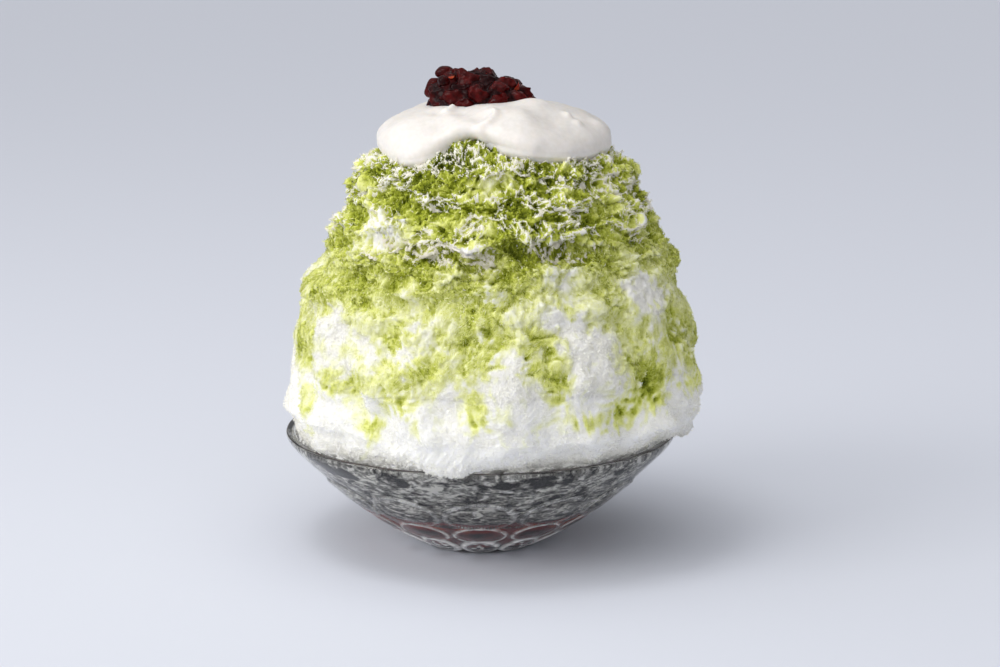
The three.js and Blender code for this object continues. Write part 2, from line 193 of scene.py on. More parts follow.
def ring_normals(rings):
    """Outward normals of a stack of rings: the way round crossed with the way up."""
    around = np.roll(rings, -1, axis=1) - np.roll(rings, 1, axis=1)
    return unit(np.cross(around, np.gradient(rings, axis=0)))


def set_attribute(piece, name, values):
    """A number for each vertex, which a material can read by its name."""
    attribute = piece.data.attributes.new(name, "FLOAT", "POINT")
    attribute.data.foreach_set("value", np.asarray(values, np.float32).ravel())


def through_keys(keys, at):
    """Catmull-Rom curve through keys (key, ...) at 0, 1, 2, ..., read at the numbers in `at`."""
    at = np.clip(at, 0, len(keys) - 1.000001)  # just short of the last key
    index = np.floor(at).astype(int)
    share = (at - index).reshape((-1,) + (1,) * (keys.ndim - 1))
    padded = np.concatenate([2 * keys[:1] - keys[1:2], keys, 2 * keys[-1:] - keys[-2:-1]])
    before, start, end, after = (padded[index + step] for step in range(4))
    linear = (end - before) * share
    square = (2 * before - 5 * start + 4 * end - after) * share**2
    cube = (3 * start - before - 3 * end + after) * share**3
    return start + 0.5 * (linear + square + cube)


# %% [markdown]
# ## Camera
# A portrait lens from a metre away, looking down by a little under twelve degrees, as one sees a
# dessert that a waiter brings. A long lens keeps the bowl's ellipse calm and the mound upright.

# %% Camera
CAMERA_PLACE = (0.0082, -1.0139, 0.2975)
CAMERA_PITCH_DOWN = 11.6
CAMERA_LENS = 88.2

camera_data = bpy.data.cameras.new("camera")
camera_data.lens = CAMERA_LENS
camera_data.sensor_width = 36
camera_data.clip_start = 0.05
camera_data.clip_end = 60
camera = bpy.data.objects.new("camera", camera_data)
camera.location = CAMERA_PLACE
camera.rotation_euler = (math.radians(90 - CAMERA_PITCH_DOWN), 0, 0)
bpy.context.scene.collection.objects.link(camera)
bpy.context.scene.camera = camera
print("camera at", CAMERA_PLACE)

# %% [markdown]
# ## Materials: one function for nodes
# Colours are written as sRGB hex values, as a colour picker shows them, and are turned to linear
# light here. One small function adds a node, sets what is given and links what is linked.

# %% Node helper
def linear(hex_colour):
    """sRGB hex to linear light: below 0.04045 a straight line, above it a power of 2.4."""
    value = np.array([int(hex_colour[i:i + 2], 16) for i in (1, 3, 5)]) / 255
    light = np.where(value <= 0.04045, value / 12.92, ((value + 0.055) / 1.055) ** 2.4)
    return (*light.tolist(), 1.0)


def add_node(tree, kind, inputs=None, stops=None, **settings):
    """A node with its settings. An input is a value, a hex colour or another node's output."""
    node = tree.nodes.new(kind)
    for name, value in settings.items():
        setattr(node, name, value)
    for name, value in (inputs or {}).items():
        socket = node.inputs[name]
        if isinstance(value, bpy.types.NodeSocket):
            tree.links.new(value, socket)
        elif isinstance(value, str):
            socket.default_value = linear(value)
        else:
            socket.default_value = value
    if stops:
        elements = node.color_ramp.elements
        while len(elements) < len(stops):
            elements.new(0.5)
        for element, (place, colour) in zip(elements, stops):
            element.position = place
            element.color = linear(colour)
    return node


def new_material(name):
    """An empty node material and its output node."""
    material = bpy.data.materials.new(name)
    material.use_nodes = True
    tree = material.node_tree
    tree.nodes.clear()
    return material, tree, add_node(tree, "ShaderNodeOutputMaterial")


MIX_FACTOR, MIX_A, MIX_B, MIX_RESULT = 0, 6, 7, 2  # the colour sockets of a Mix node

# %% [markdown]
# ## Light and floor
# A soft white window from the left and a small softbox above model the ice, in a pale room that is
# brighter on the left. The floor is a plain matte plane, so wide that its edge is never seen.

# %% Light and floor
scene = bpy.context.scene
scene.view_settings.view_transform = "Standard"

SOFTBOX_FROM = (-0.53, -0.48, 0.7)  # where the bright side of the room is, seen from the bowl
ROOM_DARK = 0.31
ROOM_BRIGHT = 1.2
world = bpy.data.worlds.new("pale_room")
world.use_nodes = True
scene.world = world
room = world.node_tree
direction = add_node(room, "ShaderNodeTexCoord").outputs["Generated"]
towards = add_node(room, "ShaderNodeVectorMath", {0: direction, 1: SOFTBOX_FROM},
                   operation="DOT_PRODUCT").outputs["Value"]
brightness = add_node(room, "ShaderNodeMapRange", {
    "Value": towards, "From Min": 0.0, "From Max": 0.9, "To Min": ROOM_DARK, "To Max": ROOM_BRIGHT,
}, interpolation_type="SMOOTHSTEP").outputs["Result"]
background = room.nodes["Background"]
background.inputs["Color"].default_value = linear("#f7f8fa")
room.links.new(brightness, background.inputs["Strength"])


def soft_window(name, place, aim, size, watts, colour):
    """An area light at a place, turned towards a point."""
    light = bpy.data.lights.new(name, "AREA")
    light.shape = "RECTANGLE"
    light.size, light.size_y = size
    light.energy = watts
    light.color = linear(colour)[:3]
    lamp = bpy.data.objects.new(name, light)
    lamp.location = place
    beam = np.array(aim) - np.array(place)
    lamp.rotation_euler = (
        math.acos(-beam[2] / np.linalg.norm(beam)),
        0,
        math.atan2(beam[1], beam[0]) - math.pi / 2,
    )
    bpy.context.scene.collection.objects.link(lamp)
    return lamp


LIGHTS_AIM = (0, 0, 0.1)
soft_window("window_left", (-1.33, -0.82, 0.92), LIGHTS_AIM, (1.0, 1.0), 11.0, "#fffdf8")
soft_window("softbox_above", (-0.3, -0.25, 1.2), LIGHTS_AIM, (0.36, 0.36), 2.2, "#ffffff")

FLOOR_HALF = 14.0
floor_mesh = bpy.data.meshes.new("floor")
floor_mesh.from_pydata(
    [(x * FLOOR_HALF, y * FLOOR_HALF, 0) for x, y in ((-1, -1), (1, -1), (1, 1), (-1, 1))],
    [],
    [(0, 1, 2, 3)],
)
floor = bpy.data.objects.new("floor", floor_mesh)
bpy.context.scene.collection.objects.link(floor)

floor_paint, tree, output = new_material("matte_sweep")
shader = add_node(tree, "ShaderNodeBsdfPrincipled", {"Base Color": "#dadde7", "Roughness": 0.9})
tree.links.new(shader.outputs["BSDF"], output.inputs["Surface"])
floor_mesh.materials.append(floor_paint)
print("floor", 2 * FLOOR_HALF, "m wide")

# %% [markdown]
# ## The glass bowl
# Pressed soda glass: a gob is pressed between two moulds, so the inside is smooth and the outside
# carries the pattern, here three rows of oval lenses. It could be lathed and the lenses sculpted by
# hand. A formula is better, because it makes the CAD model's wall, radius by radius, and gives each
# lens its shallow dome and the bead round it.

# %% Bowl sizes
FOOT_RADIUS = 21.5
WALL_RISE = 0.45
WALL_STEEPENING = 0.0052
WALL = 3.5
FLOOR_HEIGHT = 7.0
FLOOR_RADIUS = 24.0
RIM_RADIUS = 82.5
RIM_HEIGHT = 49.5
LENSES_AROUND = 12
LENS_SWELL = 1.0
LENS_ROUNDING = 0.7
LENS_BEAD = 0.8
LENS_ROWS = (  # radius, reach up and down, width, width of the bead
    (32.6, 8.0, 14.0, 1.5), (46.5, 6.6, 21.0, 0.7), (61.5, 8.6, 28.4, 0.8),
)


def wall_point(outer_radius, depth):
    """Radius and height at a depth under the outer wall, whose height is rise times the way out
    from the foot plus steepening times its square."""
    out = np.maximum(outer_radius - FOOT_RADIUS, 0)
    slope = WALL_RISE + 2 * WALL_STEEPENING * out
    length = np.hypot(slope, 1)
    height = WALL_RISE * out + WALL_STEEPENING * out**2
    return outer_radius - depth * slope / length, height + depth / length


def lens_place(radius, angle, row):
    """For a row of lenses: 0 in an oval's middle to 1 at its edge, and the way up it, -1 to 1."""
    row_radius, reach, width = row[:3]
    pitch = TURN / LENSES_AROUND
    offset = angle + TURN / 4
    across = (offset - np.round(offset / pitch) * pitch) * radius
    rise = (radius - row_radius) / reach
    return np.hypot(rise, 2 * across / width), rise


def lens_bead(radius, angle, row):
    """A bell of the distance in mm to an oval's edge."""
    size = 0.5 * (row[1] + row[2] / 2)
    return bell((lens_place(radius, angle, row)[0] - 1) * size, row[3])


def lens_swell(radius, angle):
    """Height of the lens pattern: in each oval a dome, and a bead along the oval's edge."""
    swell = 0.0
    bead = 0.0
    for row in LENS_ROWS:
        spread = lens_place(radius, angle, row)[0]
        swell = np.maximum(swell, LENS_SWELL * np.clip(1 - spread**2, 0, None) ** LENS_ROUNDING)
        bead = np.maximum(bead, LENS_BEAD * lens_bead(radius, angle, row))
    return swell + bead


# %% [markdown]
# The profile runs from the foot up the outside, over the fire-polished rim and down the smooth
# inside to the floor. The outside takes the lenses, ring by ring. The rest is a curve through keys.

# %% Bowl mesh
BOWL_COLUMNS = LENSES_AROUND * 30
FOOT_RINGS = np.array([8.0, 16.0])
WALL_TOP = (80.0, 44.12)  # radius and height where the outside ends and the rim's curve begins
WALL_ROWS = 118
HOLLOW_RADII = np.array([76, 67, 57, 48, 39, 31])  # the inside follows the wall at these radii
HOLLOW_ROWS = 64
HOLLOW_START = 0.25  # the outside's last ring stands for the curve's beginning
FLOOR_RING = 12.0
bowl_angles = angles_round(BOWL_COLUMNS)

wall_radii = np.linspace(FOOT_RADIUS, WALL_TOP[0], WALL_ROWS)[:, None]
wall_radius, wall_height = wall_point(wall_radii, -lens_swell(wall_radii, bowl_angles))
outside = polar(wall_radius, bowl_angles, wall_height)

lip_keys = [
    WALL_TOP, (RIM_RADIUS - 0.6, RIM_HEIGHT - 2.9), (RIM_RADIUS, RIM_HEIGHT - 1.1),
    (RIM_RADIUS - 0.35, RIM_HEIGHT - 0.25), (RIM_RADIUS - 1.3, RIM_HEIGHT),
    (RIM_RADIUS - 2.4, RIM_HEIGHT - 0.1), (RIM_RADIUS - 3.2, RIM_HEIGHT - 0.6),
    (RIM_RADIUS - 4.7, RIM_HEIGHT - 2.7),
]
hollow_keys = np.stack(wall_point(HOLLOW_RADII, WALL), axis=-1)
floor_keys = [(FLOOR_RADIUS, FLOOR_HEIGHT), (FLOOR_RING, FLOOR_HEIGHT)]
profile_keys = np.array([*lip_keys, *hollow_keys, *floor_keys])
profile = through_keys(profile_keys, np.linspace(HOLLOW_START, len(profile_keys) - 1, HOLLOW_ROWS))
inside = polar(profile[:, :1], bowl_angles, profile[:, 1:])
foot = polar(FOOT_RINGS[:, None], bowl_angles, 0.0)
bowl = ring_piece(
    "bowl_of_pressed_glass",
    np.concatenate([foot, outside, inside]),
    (0, 0, 0),
    (0, 0, FLOOR_HEIGHT),
)
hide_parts("glass_bowl")
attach(bowl, "root")

# %% [markdown]
# Where a bead bends sharply, light is caught and sent back many times, so thick pressed glass shows
# white arcs, and small white glints near its foot. Here they are painted highlights: the piece
# carries a number for them, and there the glass is painted white.

# %% Painted highlights on the beads
PAINTED_BEAD_SHINE = (1.0, 0.6, 0.25)  # how white the beads of each row look, from the foot up
PAINTED_GLINT_SHINE = 0.8
sparkle = 0.95 + 0.9 * noise(outside, (4, 4, 2), 93)
painted_shine = np.zeros(outside.shape[:2])
for row, shine in zip(LENS_ROWS, PAINTED_BEAD_SHINE):
    bead = lens_bead(wall_radii, bowl_angles, row)
    painted_shine = np.maximum(painted_shine, shine * bead * np.clip(sparkle, 0.1, 1))
low_spread = lens_place(wall_radii, bowl_angles, LENS_ROWS[0])[0]
painted_foot_glints = soft_step(noise(outside, (2.6, 2.6, 1.4), 94), 0.05, 0.3) * soft_step(low_spread, 0.95, 0.7)
painted_shine = np.maximum(painted_shine, PAINTED_GLINT_SHINE * painted_foot_glints)
# the piece's number for the painted highlights on the outside
set_attribute(bowl, "edge", np.concatenate([
    np.zeros(1 + foot[..., 0].size), painted_shine.ravel(), np.zeros(inside[..., 0].size + 1),
]))
print(f"bright glass: {np.mean(painted_shine > 0.5):.1%} of the outside")

# %% [markdown]
# Soda glass bends light by an index of 1.52 and is nearly colourless. Fire polishing leaves a skin
# that is smooth to the touch but gently wavy, which a large soft bump shows in its reflections.
# Where the piece's number is high, the glass is painted white as a highlight and lets less light
# through.

# %% Glass
GLASS_WAVE_MM = 9.0
glass, tree, output = new_material("pressed_soda_glass")
place = add_node(tree, "ShaderNodeTexCoord").outputs["Object"]
waves = add_node(tree, "ShaderNodeTexNoise", {
    "Vector": place, "Scale": 1 / (GLASS_WAVE_MM * MM), "Detail": 2.0, "Roughness": 0.5,
})
bump = add_node(tree, "ShaderNodeBump", {
    "Height": waves.outputs["Fac"], "Strength": 0.25, "Distance": 0.4 * MM,
})
# painted highlight: along the beads and at the glints the glass turns white and less clear
edge = add_node(tree, "ShaderNodeAttribute", attribute_name="edge").outputs["Fac"]
clear = add_node(tree, "ShaderNodeMath", {0: edge, 1: -1.0, 2: 1.0},
                 operation="MULTIPLY_ADD", use_clamp=True).outputs[0]
shader = add_node(tree, "ShaderNodeBsdfPrincipled", {
    "Base Color": "#fffefa", "Roughness": 0.015, "IOR": 1.52, "Transmission Weight": clear,
    "Normal": bump.outputs["Normal"],
})
tree.links.new(shader.outputs["BSDF"], output.inputs["Surface"])
bowl.data.materials.append(glass)
print("glass with waves of", GLASS_WAVE_MM, "mm")

# %% [markdown]
# ## Azuki paste in the bowl
# Beans boiled soft with sugar and half crushed. Through the glass it is a dark red band. It reaches
# a quarter of a millimetre into the glass, because a thin layer of air between them would mirror.

# %% Azuki paste
INTO_GLASS = 0.25
PASTE_COLUMNS = 240
PASTE_WALL_RADII = np.linspace(31, 50, 24)[:, None]  # its side follows the wall at these radii
PASTE_EDGE = 54.5
PASTE_EDGE_WAVE = 1.3
PASTE_CROWN = 1.2
PASTE_LUMPS = 0.5


def paste_edge(angle, depth):
    """Where the paste's top meets the wall: a slow wave round the bowl, higher at +X."""
    wave = PASTE_EDGE_WAVE * (0.7 * np.cos(angle) + 0.4 * np.sin(3 * angle + 1))
    return wall_point(PASTE_EDGE + wave, depth)


paste_angles = angles_round(PASTE_COLUMNS)
side_radius, side_height = wall_point(PASTE_WALL_RADII, WALL - INTO_GLASS)
paste_wall = polar(side_radius, paste_angles, side_height)
edge_radius, edge_height = paste_edge(paste_angles, WALL - INTO_GLASS)
shares = np.array([1.0, 0.97, 0.9, 0.8, 0.7, 0.6, 0.5, 0.4, 0.3, 0.2, 0.1])[:, None]
paste_middle = wall_point(PASTE_EDGE, WALL)[1]
top_height = mix(paste_middle, edge_height, shares**2) + PASTE_CROWN * (1 - shares**2)
paste_top = polar(edge_radius * shares, paste_angles, top_height)
paste_top[1:, :, 2] += PASTE_LUMPS * noise(paste_top[1:], 7.0, 4)
floor_radii = np.array([[FLOOR_RING], [FLOOR_RADIUS]])
paste_floor = polar(floor_radii, paste_angles, FLOOR_HEIGHT - INTO_GLASS)
paste = ring_piece(
    "azuki_paste_in_bowl",
    np.concatenate([paste_floor, paste_wall, paste_top]),
    (0, 0, FLOOR_HEIGHT - INTO_GLASS),
    (0, 0, paste_middle + PASTE_CROWN),
)
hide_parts("azuki_base")
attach(paste, "root")

# %% [markdown]
# Light and shade of the lenses are painted on the paste, so the side's tone follows the middle row of
# lenses: a painted light arch along the top of each lens and painted shade below it, where a lens
# would gather the red and leave a dark hollow. The underside is painted darker. The material that
# reads it comes with the beans.

# %% Tone of the paste, with painted light and shade
# painted shade: the paste's underside, seen through the lowest lenses, is darker than its top
SHADED_UNDER_TONE = 0.6
TOP_TONE = 1.0
SIDE_TONE = 1.15
spread, climb = lens_place(PASTE_WALL_RADII, paste_angles, LENS_ROWS[1])
# painted light: a light arch along the top of each lens of the middle row
painted_arch_light = bell(spread - 0.75, 0.3) * soft_step(climb, -0.4, 0.4)
# painted shade in the lower part of each lens of the middle row
hollow = bell(spread, 0.5) * soft_step(climb, 0.2, -0.3)
side_tone_and_painted_light = SIDE_TONE + 0.5 * painted_arch_light - 1.4 * hollow + 0.4 * noise(paste_wall, 6.0, 95)
paste_tone_and_painted_light = np.concatenate([
    np.full(1 + paste_floor[..., 0].size, SHADED_UNDER_TONE),
    side_tone_and_painted_light.ravel(),
    np.full(paste_top[..., 0].size + 1, TOP_TONE),
])
print(f"paste tone from {side_tone_and_painted_light.min():.2f} to {side_tone_and_painted_light.max():.2f} on its side")

# %% [markdown]
# ## The mound of ice: main form
# Shaved ice falls from the blade in curls and is heaped, turned and patted by hand. The form below
# is the CAD model's own, from the same sizes: a belly that leans a little to the right, clefts in the
# soft lower half, crests and ledges in the upper half, and a frill that spills over the rim.

# %% Mound sizes
MOUND_RADIUS = 87.5
MOUND_BELLY_HEIGHT = 62
MOUND_TOP = 178
MOUND_SHIFT = 5.5
MOUND_TAPER = 0.45
MOUND_TAPER_POWER = 1.6
MOUND_CROWN_POWER = 22
RELIEF_START = 51
RELIEF_FULL = 62
CROWN_START = 168
CROWN_PRESSED = 175
CROWN_SMOOTHING = 0.75
BACK_SECTOR = (22, 158)  # degrees of the far side
FRONT_LOBES = [  # angle, height, half width in degrees, half height, swell
    (-145, 103, 12, 9, 3.5), (-120, 88, 13, 10, 3.5), (-63, 85, 12, 11, 3.0),
    (-103, 69, 13, 10, 3.5), (-142, 64, 12, 8, 1.5), (-87, 93, 9, 9, 2.0),
    (-40, 64, 12, 8, 2.5), (-37, 115, 10, 8, 3.0), (-135, 147, 10, 8, 2.5),
    (-3, 108, 16, 5, -3.0), (2, 124, 16, 6, 5.0), (-93, 159, 11, 5, -4.0),
    (-119, 72, 4, 9, -3.5), (180, 72, 24, 12, -2.0), (180, 123, 20, 5, -3.5),
    (180, 141, 22, 12, -3.0),
]
FRONT_LEDGES = [  # angle, height, half width in degrees, reach
    (-78, 140, 34, 4.5), (-163, 113, 24, 4.5), (-152, 159, 20, 3.0),
    (-44, 166, 15, 2.5), (-170, 130, 6, 3.0), (-112, 122, 14, 2.5),
]
CLEFTS = [  # waves round the mound, turn per mm of height, phase, depth
    (9, 0.02, 0.4, 2.6), (14, -0.05, 1.9, 2.0), (7, 0.16, 3.1, 2.2), (17, 0.12, 4.4, 1.2),
]
CRESTS = [  # the same, where a depth below 0 makes sharp crests of the clefts
    (3, 0.34, 0.9, -2.2), (-4, 0.47, 2.3, -1.8), (11, -0.12, 4.1, 1.6), (-8, 0.62, 5.2, -1.2),
]
CLEFTS_END = 88
CRESTS_FULL = 124
BACK_LOBES = 18
BACK_LEDGES = 6


def spread_round(count):
    """Number, angle over the far side by the golden ratio, and an even step up from 0 to 1."""
    index = np.arange(count)
    around = mix(*BACK_SECTOR, (index * GOLDEN_RATIO) % 1)
    return zip(index, around, (index + 0.5) / count)


LOBES = FRONT_LOBES + [
    (angle, 66 + 96 * up, 11 + (index % 3) * 2, 8 + index % 4, -3 if index % 5 == 2 else 3)
    for index, angle, up in spread_round(BACK_LOBES)
]
LEDGES = FRONT_LEDGES + [
    (angle, 100 + 66 * up, 20 + (index % 3) * 6, 3.5)
    for index, angle, up in spread_round(BACK_LEDGES)
]
print(len(LOBES), "lobes and", len(LEDGES), "ledges")

# %% [markdown]
# The form is one radius for each angle and height: a smooth belly, and relief added to it. Folded
# sines make the clefts and crests, and bells make the lobes and ledges.

# %% Mound form
def fold_relief(folds, angle, height):
    """Sum of folded sines: depth times |sin| of a phase that winds round and up and wanders."""
    relief = 0.0
    for around, up, phase, depth in folds:
        wander = 0.7 * np.sin(3 * angle + height / 14 + 2 * phase) + 0.35 * np.sin(8 * angle - phase)
        wave = np.abs(np.sin((around * angle + up * height) / 2 + phase + wander))
        relief = relief + depth * (wave - 2 / math.pi)
    return relief


def ledge_section(rise):
    """A ledge from below to above its edge: a hollow, a sudden jut and a slow fading."""
    return bell(rise, np.where(rise > 0, 9, 2.6)) - 0.6 * bell(rise + 6, 4.5)


def ice_relief(angle, height):
    """Clefts below turning to crests above, plus each lobe's bell and each ledge's section."""
    degrees = np.degrees(angle)
    share = soft_step(height, CLEFTS_END, CRESTS_FULL)
    relief = mix(fold_relief(CLEFTS, angle, height), fold_relief(CRESTS, angle, height), share)
    for lobe_angle, lobe_height, width, tall, swell in LOBES:
        side = bell(turn_between(lobe_angle, degrees), width)
        relief = relief + swell * side * bell(height - lobe_height, tall)
    for ledge_angle, ledge_height, width, reach in LEDGES:
        wander = 2.5 * np.sin(5 * angle + ledge_height)
        side = bell(turn_between(ledge_angle, degrees), width)
        relief = relief + reach * side * ledge_section(height - ledge_height - wander)
    return relief


def mound_shift(height):
    """The lean to +X, from none at the rim to all of it at the belly."""
    return MOUND_SHIFT * soft_step(height, RELIEF_START, RELIEF_FULL)


def mound_radius(angle, height):
    """Belly radius, less a taper that grows as a power of the rise, closed at the crown by a root,
    plus the relief, which is pressed flat under the cream."""
    rise = np.clip((height - MOUND_BELLY_HEIGHT) / (MOUND_TOP - MOUND_BELLY_HEIGHT), 0, 1)
    bare = MOUND_RADIUS * (1 - MOUND_TAPER * rise**MOUND_TAPER_POWER)
    bare = bare * np.sqrt(1 - rise**MOUND_CROWN_POWER)
    settled = 1 - CROWN_SMOOTHING * soft_step(height, CROWN_START, CROWN_PRESSED)
    relief = soft_step(height, RELIEF_START, RELIEF_FULL) * settled * ice_relief(angle, height)
    return np.maximum(bare + relief, 1)


# %% [markdown]
# Heaped ice doesn't stop at the rim. In most places it stands back a little, and in two it hangs
# over: a wide frill on the right and a small tongue in front. Keys for both edges are blended.

# %% The edge over the rim
ICE_WALL_RADII = (50, 57, 65, 73)  # the ice follows the wall at these radii
EDGE_ROWS = [  # radius and height of the ice's edge, first inside the rim, then where it spills
    ((79.8, 50.6), (81.0, 50.3)), ((81.0, 52.6), (83.8, 50.2)),
    ((82.6, 55.0), (85.3, 45.0)), ((84.9, 58.4), (89.0, 48.5)),
]
SPILL_TEARS = 0.35
RIM_GAP = 2.2  # the ice stands back from the rim by up to this much, here and there
RIM_GAP_FADES = (0.5, 1, 1, 0.8, 0.4)  # and by this share of it at the five rings about the rim


def spill(angle):
    """1 where the ice spills over the rim: a bell at +X for the frill and one in front for the
    tongue, both torn by noise."""
    degrees = np.degrees(angle)
    frill = bell(turn_between(2, degrees), 19)
    tongue = 0.55 * bell(turn_between(-97, degrees), 13) ** 0.7
    torn = 1 + SPILL_TEARS * noise(polar(RIM_RADIUS, angle, RIM_HEIGHT), 9.0, 97)
    return np.clip((frill + tongue) * torn, 0, 1)


def rim_keys(angles):
    """Key rings (key, column, (radius, height)) from the wall in the bowl out to the belly."""
    depth = WALL - INTO_GLASS
    flat = np.ones_like(angles)
    keys = [np.stack([radius * flat, height * flat], -1)
            for radius, height in zip(*wall_point(np.array(ICE_WALL_RADII, float), depth))]
    share = spill(angles)[:, None]
    stand_back = RIM_GAP * (1 - share[:, 0]) * soft_step(np.sin(4 * angles + 1.2), -0.2, 1.0)
    neck = [(RIM_RADIUS - 4.5, RIM_HEIGHT - 2.6), (RIM_RADIUS - 3.1, RIM_HEIGHT - 0.5)]
    keys += [np.stack([radius * flat, height * flat], -1) for radius, height in neck]
    keys += [mix(np.array(kept), np.array(spilled), share) for kept, spilled in EDGE_ROWS]
    for fade, key in zip(RIM_GAP_FADES, keys[-len(RIM_GAP_FADES):]):
        key[:, 0] -= fade * stand_back
    for height in (MOUND_BELLY_HEIGHT, MOUND_BELLY_HEIGHT + 4):
        keys.append(np.stack([mound_radius(angles, height), height * flat], -1))
    return np.stack(keys)


print(f"frill: {spill(0.0):.2f} of the way over the rim at +X, {spill(math.pi):.2f} at -X")

# %% [markdown]
# ## The mound of ice: where the syrup is
# Matcha syrup is ladled over the top. It soaks in, runs down in streaks and leaves the lower snow
# white but for a few splashes. One number says how much there is at each place, from 0 to 1, and
# both the colour and the texture follow it: soaked ice sags into wet crags, dry ice stays fluffy.

# %% Where the syrup is
STAINS = [  # angle, height, half width in degrees, half height, strength
    (-94, 101, 5, 13, 0.85), (-95, 118, 8, 9, 0.4), (-75, 99, 6, 8, 0.6), (-73, 85, 4, 6, 0.55),
    (-42, 86, 9, 12, 0.8), (-55, 69, 7, 7, 0.75), (-66, 69, 4, 4, 0.35), (-95, 74, 4, 7, 0.6),
    (-115, 77, 4, 6, 0.5), (-124, 66, 4, 5, 0.3), (-140, 80, 5, 6, 0.6), (-152, 70, 5, 7, 0.5),
    (-128, 82, 6, 4, 0.5), (-116, 87, 6, 5, 0.6), (-107, 93, 5, 6, 0.6), (-164, 91, 9, 9, 0.9),
    (-41, 76, 5, 5, 0.6), (-20, 95, 10, 12, 0.7), (-152, 118, 9, 9, 0.35), (-130, 112, 6, 6, 0.25),
    (-6, 88, 11, 9, 0.75), (-118, 100, 5, 6, 0.3), (-14, 77, 11, 7, 0.5),
]
PALE_PATCHES = [  # angle, height, half width in degrees, half height, strength
    (-134, 143, 16, 10, 1.35), (-38, 116, 8, 8, 1.2), (-145, 104, 8, 7, 0.85),
    (-59, 97, 9, 9, 0.75), (-123, 95, 7, 6, 0.35), (-93, 161, 13, 5.0, 1.2), (-30, 157, 6, 7, 0.6),
    (-72, 110, 7, 8, 0.55), (-85, 92, 6, 7, 0.5), (-42, 155, 8, 7, 0.6), (-92, 126, 4, 12, 0.5),
    (-68, 126, 8, 5, 0.45),
]
BACK_STAINS = 16
BACK_PALE_PATCHES = 9
SYRUP_BY_HEIGHT = (
    (55, -0.42), (70, -0.22), (85, 0.05), (100, 0.32), (122, 0.68), (145, 1.3), (165, 1.7),
)
MOST_BY_HEIGHT = ((60, 0.95), (100, 0.88), (130, 1.05), (178, 1.15))
STAINING = 1.7
rng = np.random.default_rng(11)
for index, angle, _ in spread_round(BACK_STAINS):
    height = 64 + 40 * ((index * 0.37) % 1)
    STAINS.append((angle, height, rng.uniform(4, 9), rng.uniform(5, 12), 0.7))
for _, angle, up in spread_round(BACK_PALE_PATCHES):
    PALE_PATCHES.append((angle, 95 + 60 * up, rng.uniform(6, 10), rng.uniform(5, 9), 0.8))
print(len(STAINS), "stains and", len(PALE_PATCHES), "pale patches")


def patches(places, angle, height):
    """Sum of bells at the listed angles and heights."""
    degrees = np.degrees(angle)
    total = 0.0
    for patch_angle, patch_height, width, tall, strength in places:
        side = bell(turn_between(patch_angle, degrees), width)
        total = total + strength * side * bell(height - patch_height, tall)
    return total


def syrup_share(points, angle, height):
    """How soaked the ice is: more with height, torn into streaks by noise, plus stains, less the
    pale patches. A falling exponential brings it gently to the most that a height can hold."""
    soaked = np.interp(height, *np.array(SYRUP_BY_HEIGHT).T)
    bent = points + 6.0 * noise_vector(points, 16.0, 2)
    soaked = soaked + 0.5 * noise(bent, (19, 19, 24), 1) + 0.45 * noise(bent, (7, 7, 9), 4)
    torn = noise(bent, (2.6, 2.6, 3.6), 3)
    soaked = soaked + 0.25 * torn + STAINING * patches(STAINS, angle, height) * (1 + 1.1 * torn)
    soaked = soaked - (1 - 0.6 * torn) * patches(PALE_PATCHES, angle, height)
    most = np.interp(height, *np.array(MOST_BY_HEIGHT).T)
    return most * (1 - np.exp(-np.clip(soaked, 0, None) / most))


# %% [markdown]
# ## The mound of ice: texture
# The upper part is a mass of thin sheets that stand out of the heap, with frost along their edges and
# dark hollows between them. The zero lines of a noise give such sheets: they wander, meet and close
# on themselves. A sawtooth of the height lays them in tiers. Where streaks run the ice is combed into
# strands, and the dry ice below is a heap of soft puffs, which are noise without its sign.

# %% Tiers and thin lines
TIER_MM = 9.5
SMALL_TIER_MM = 0.6 * TIER_MM
LIP_SHARE = 0.25
LIP_LINE = (0.15, 0.45)  # mm from a lip's line, where it begins to fade and where it ends
TINY = 1e-6


def tiers(points, height, spacing, seed):
    """A sawtooth of the bent height: 0 in the hollow, 1 at the lip, then slowly back to 0. The
    second result is a thin line along the lip."""
    bend = 2.0 * spacing * noise(points, 2.9 * spacing, seed)
    bend = bend + 0.65 * spacing * noise(points, 0.9 * spacing, seed + 1)
    share = (height + bend) / spacing
    share = share - np.floor(share)
    profile = soft_step(share, 0, LIP_SHARE) * ((1 - share) / (1 - LIP_SHARE)) ** 0.8
    lip = 1 - soft_step(spacing * np.abs(share - LIP_SHARE - 0.04), *LIP_LINE)
    return np.minimum(profile, 1), lip


def thin_line(points, field, width):
    """1 within a width in mm of the lines where a field is zero. Its value over its slope is the
    distance to them."""
    slopes = []
    for axis in (0, 1):
        step = np.linalg.norm(np.gradient(points, axis=axis), axis=-1)
        slopes.append(np.gradient(field, axis=axis) / (step + TINY))
    distance = np.abs(field) / (np.hypot(*slopes) + TINY)
    return 1 - soft_step(distance, 0.6 * width, 1.4 * width)


# %% [markdown]
# Three recipes follow, one for each kind of ice. Each is a sum of noises, and each number before a
# noise is its height in mm. Their sizes come from the real thing: tiers ten millimetres apart and
# clumps of a few millimetres, with crinkles and grain of one or two.

# %% Craggy ice
FROST_FROM = 124  # no frost below this height
FROST_FULL = 140  # and all of it above this one
FROST_WANDER = 16.0  # but both heights wander by up to this much, so the frost ends in a torn line
CROWDED_FROM = 162  # nearly all lips are frosty from here up, under the cream
CROWDED_FULL = 170
CRAGS_SINK = 4.8  # brings the middle of the crags back to the main form


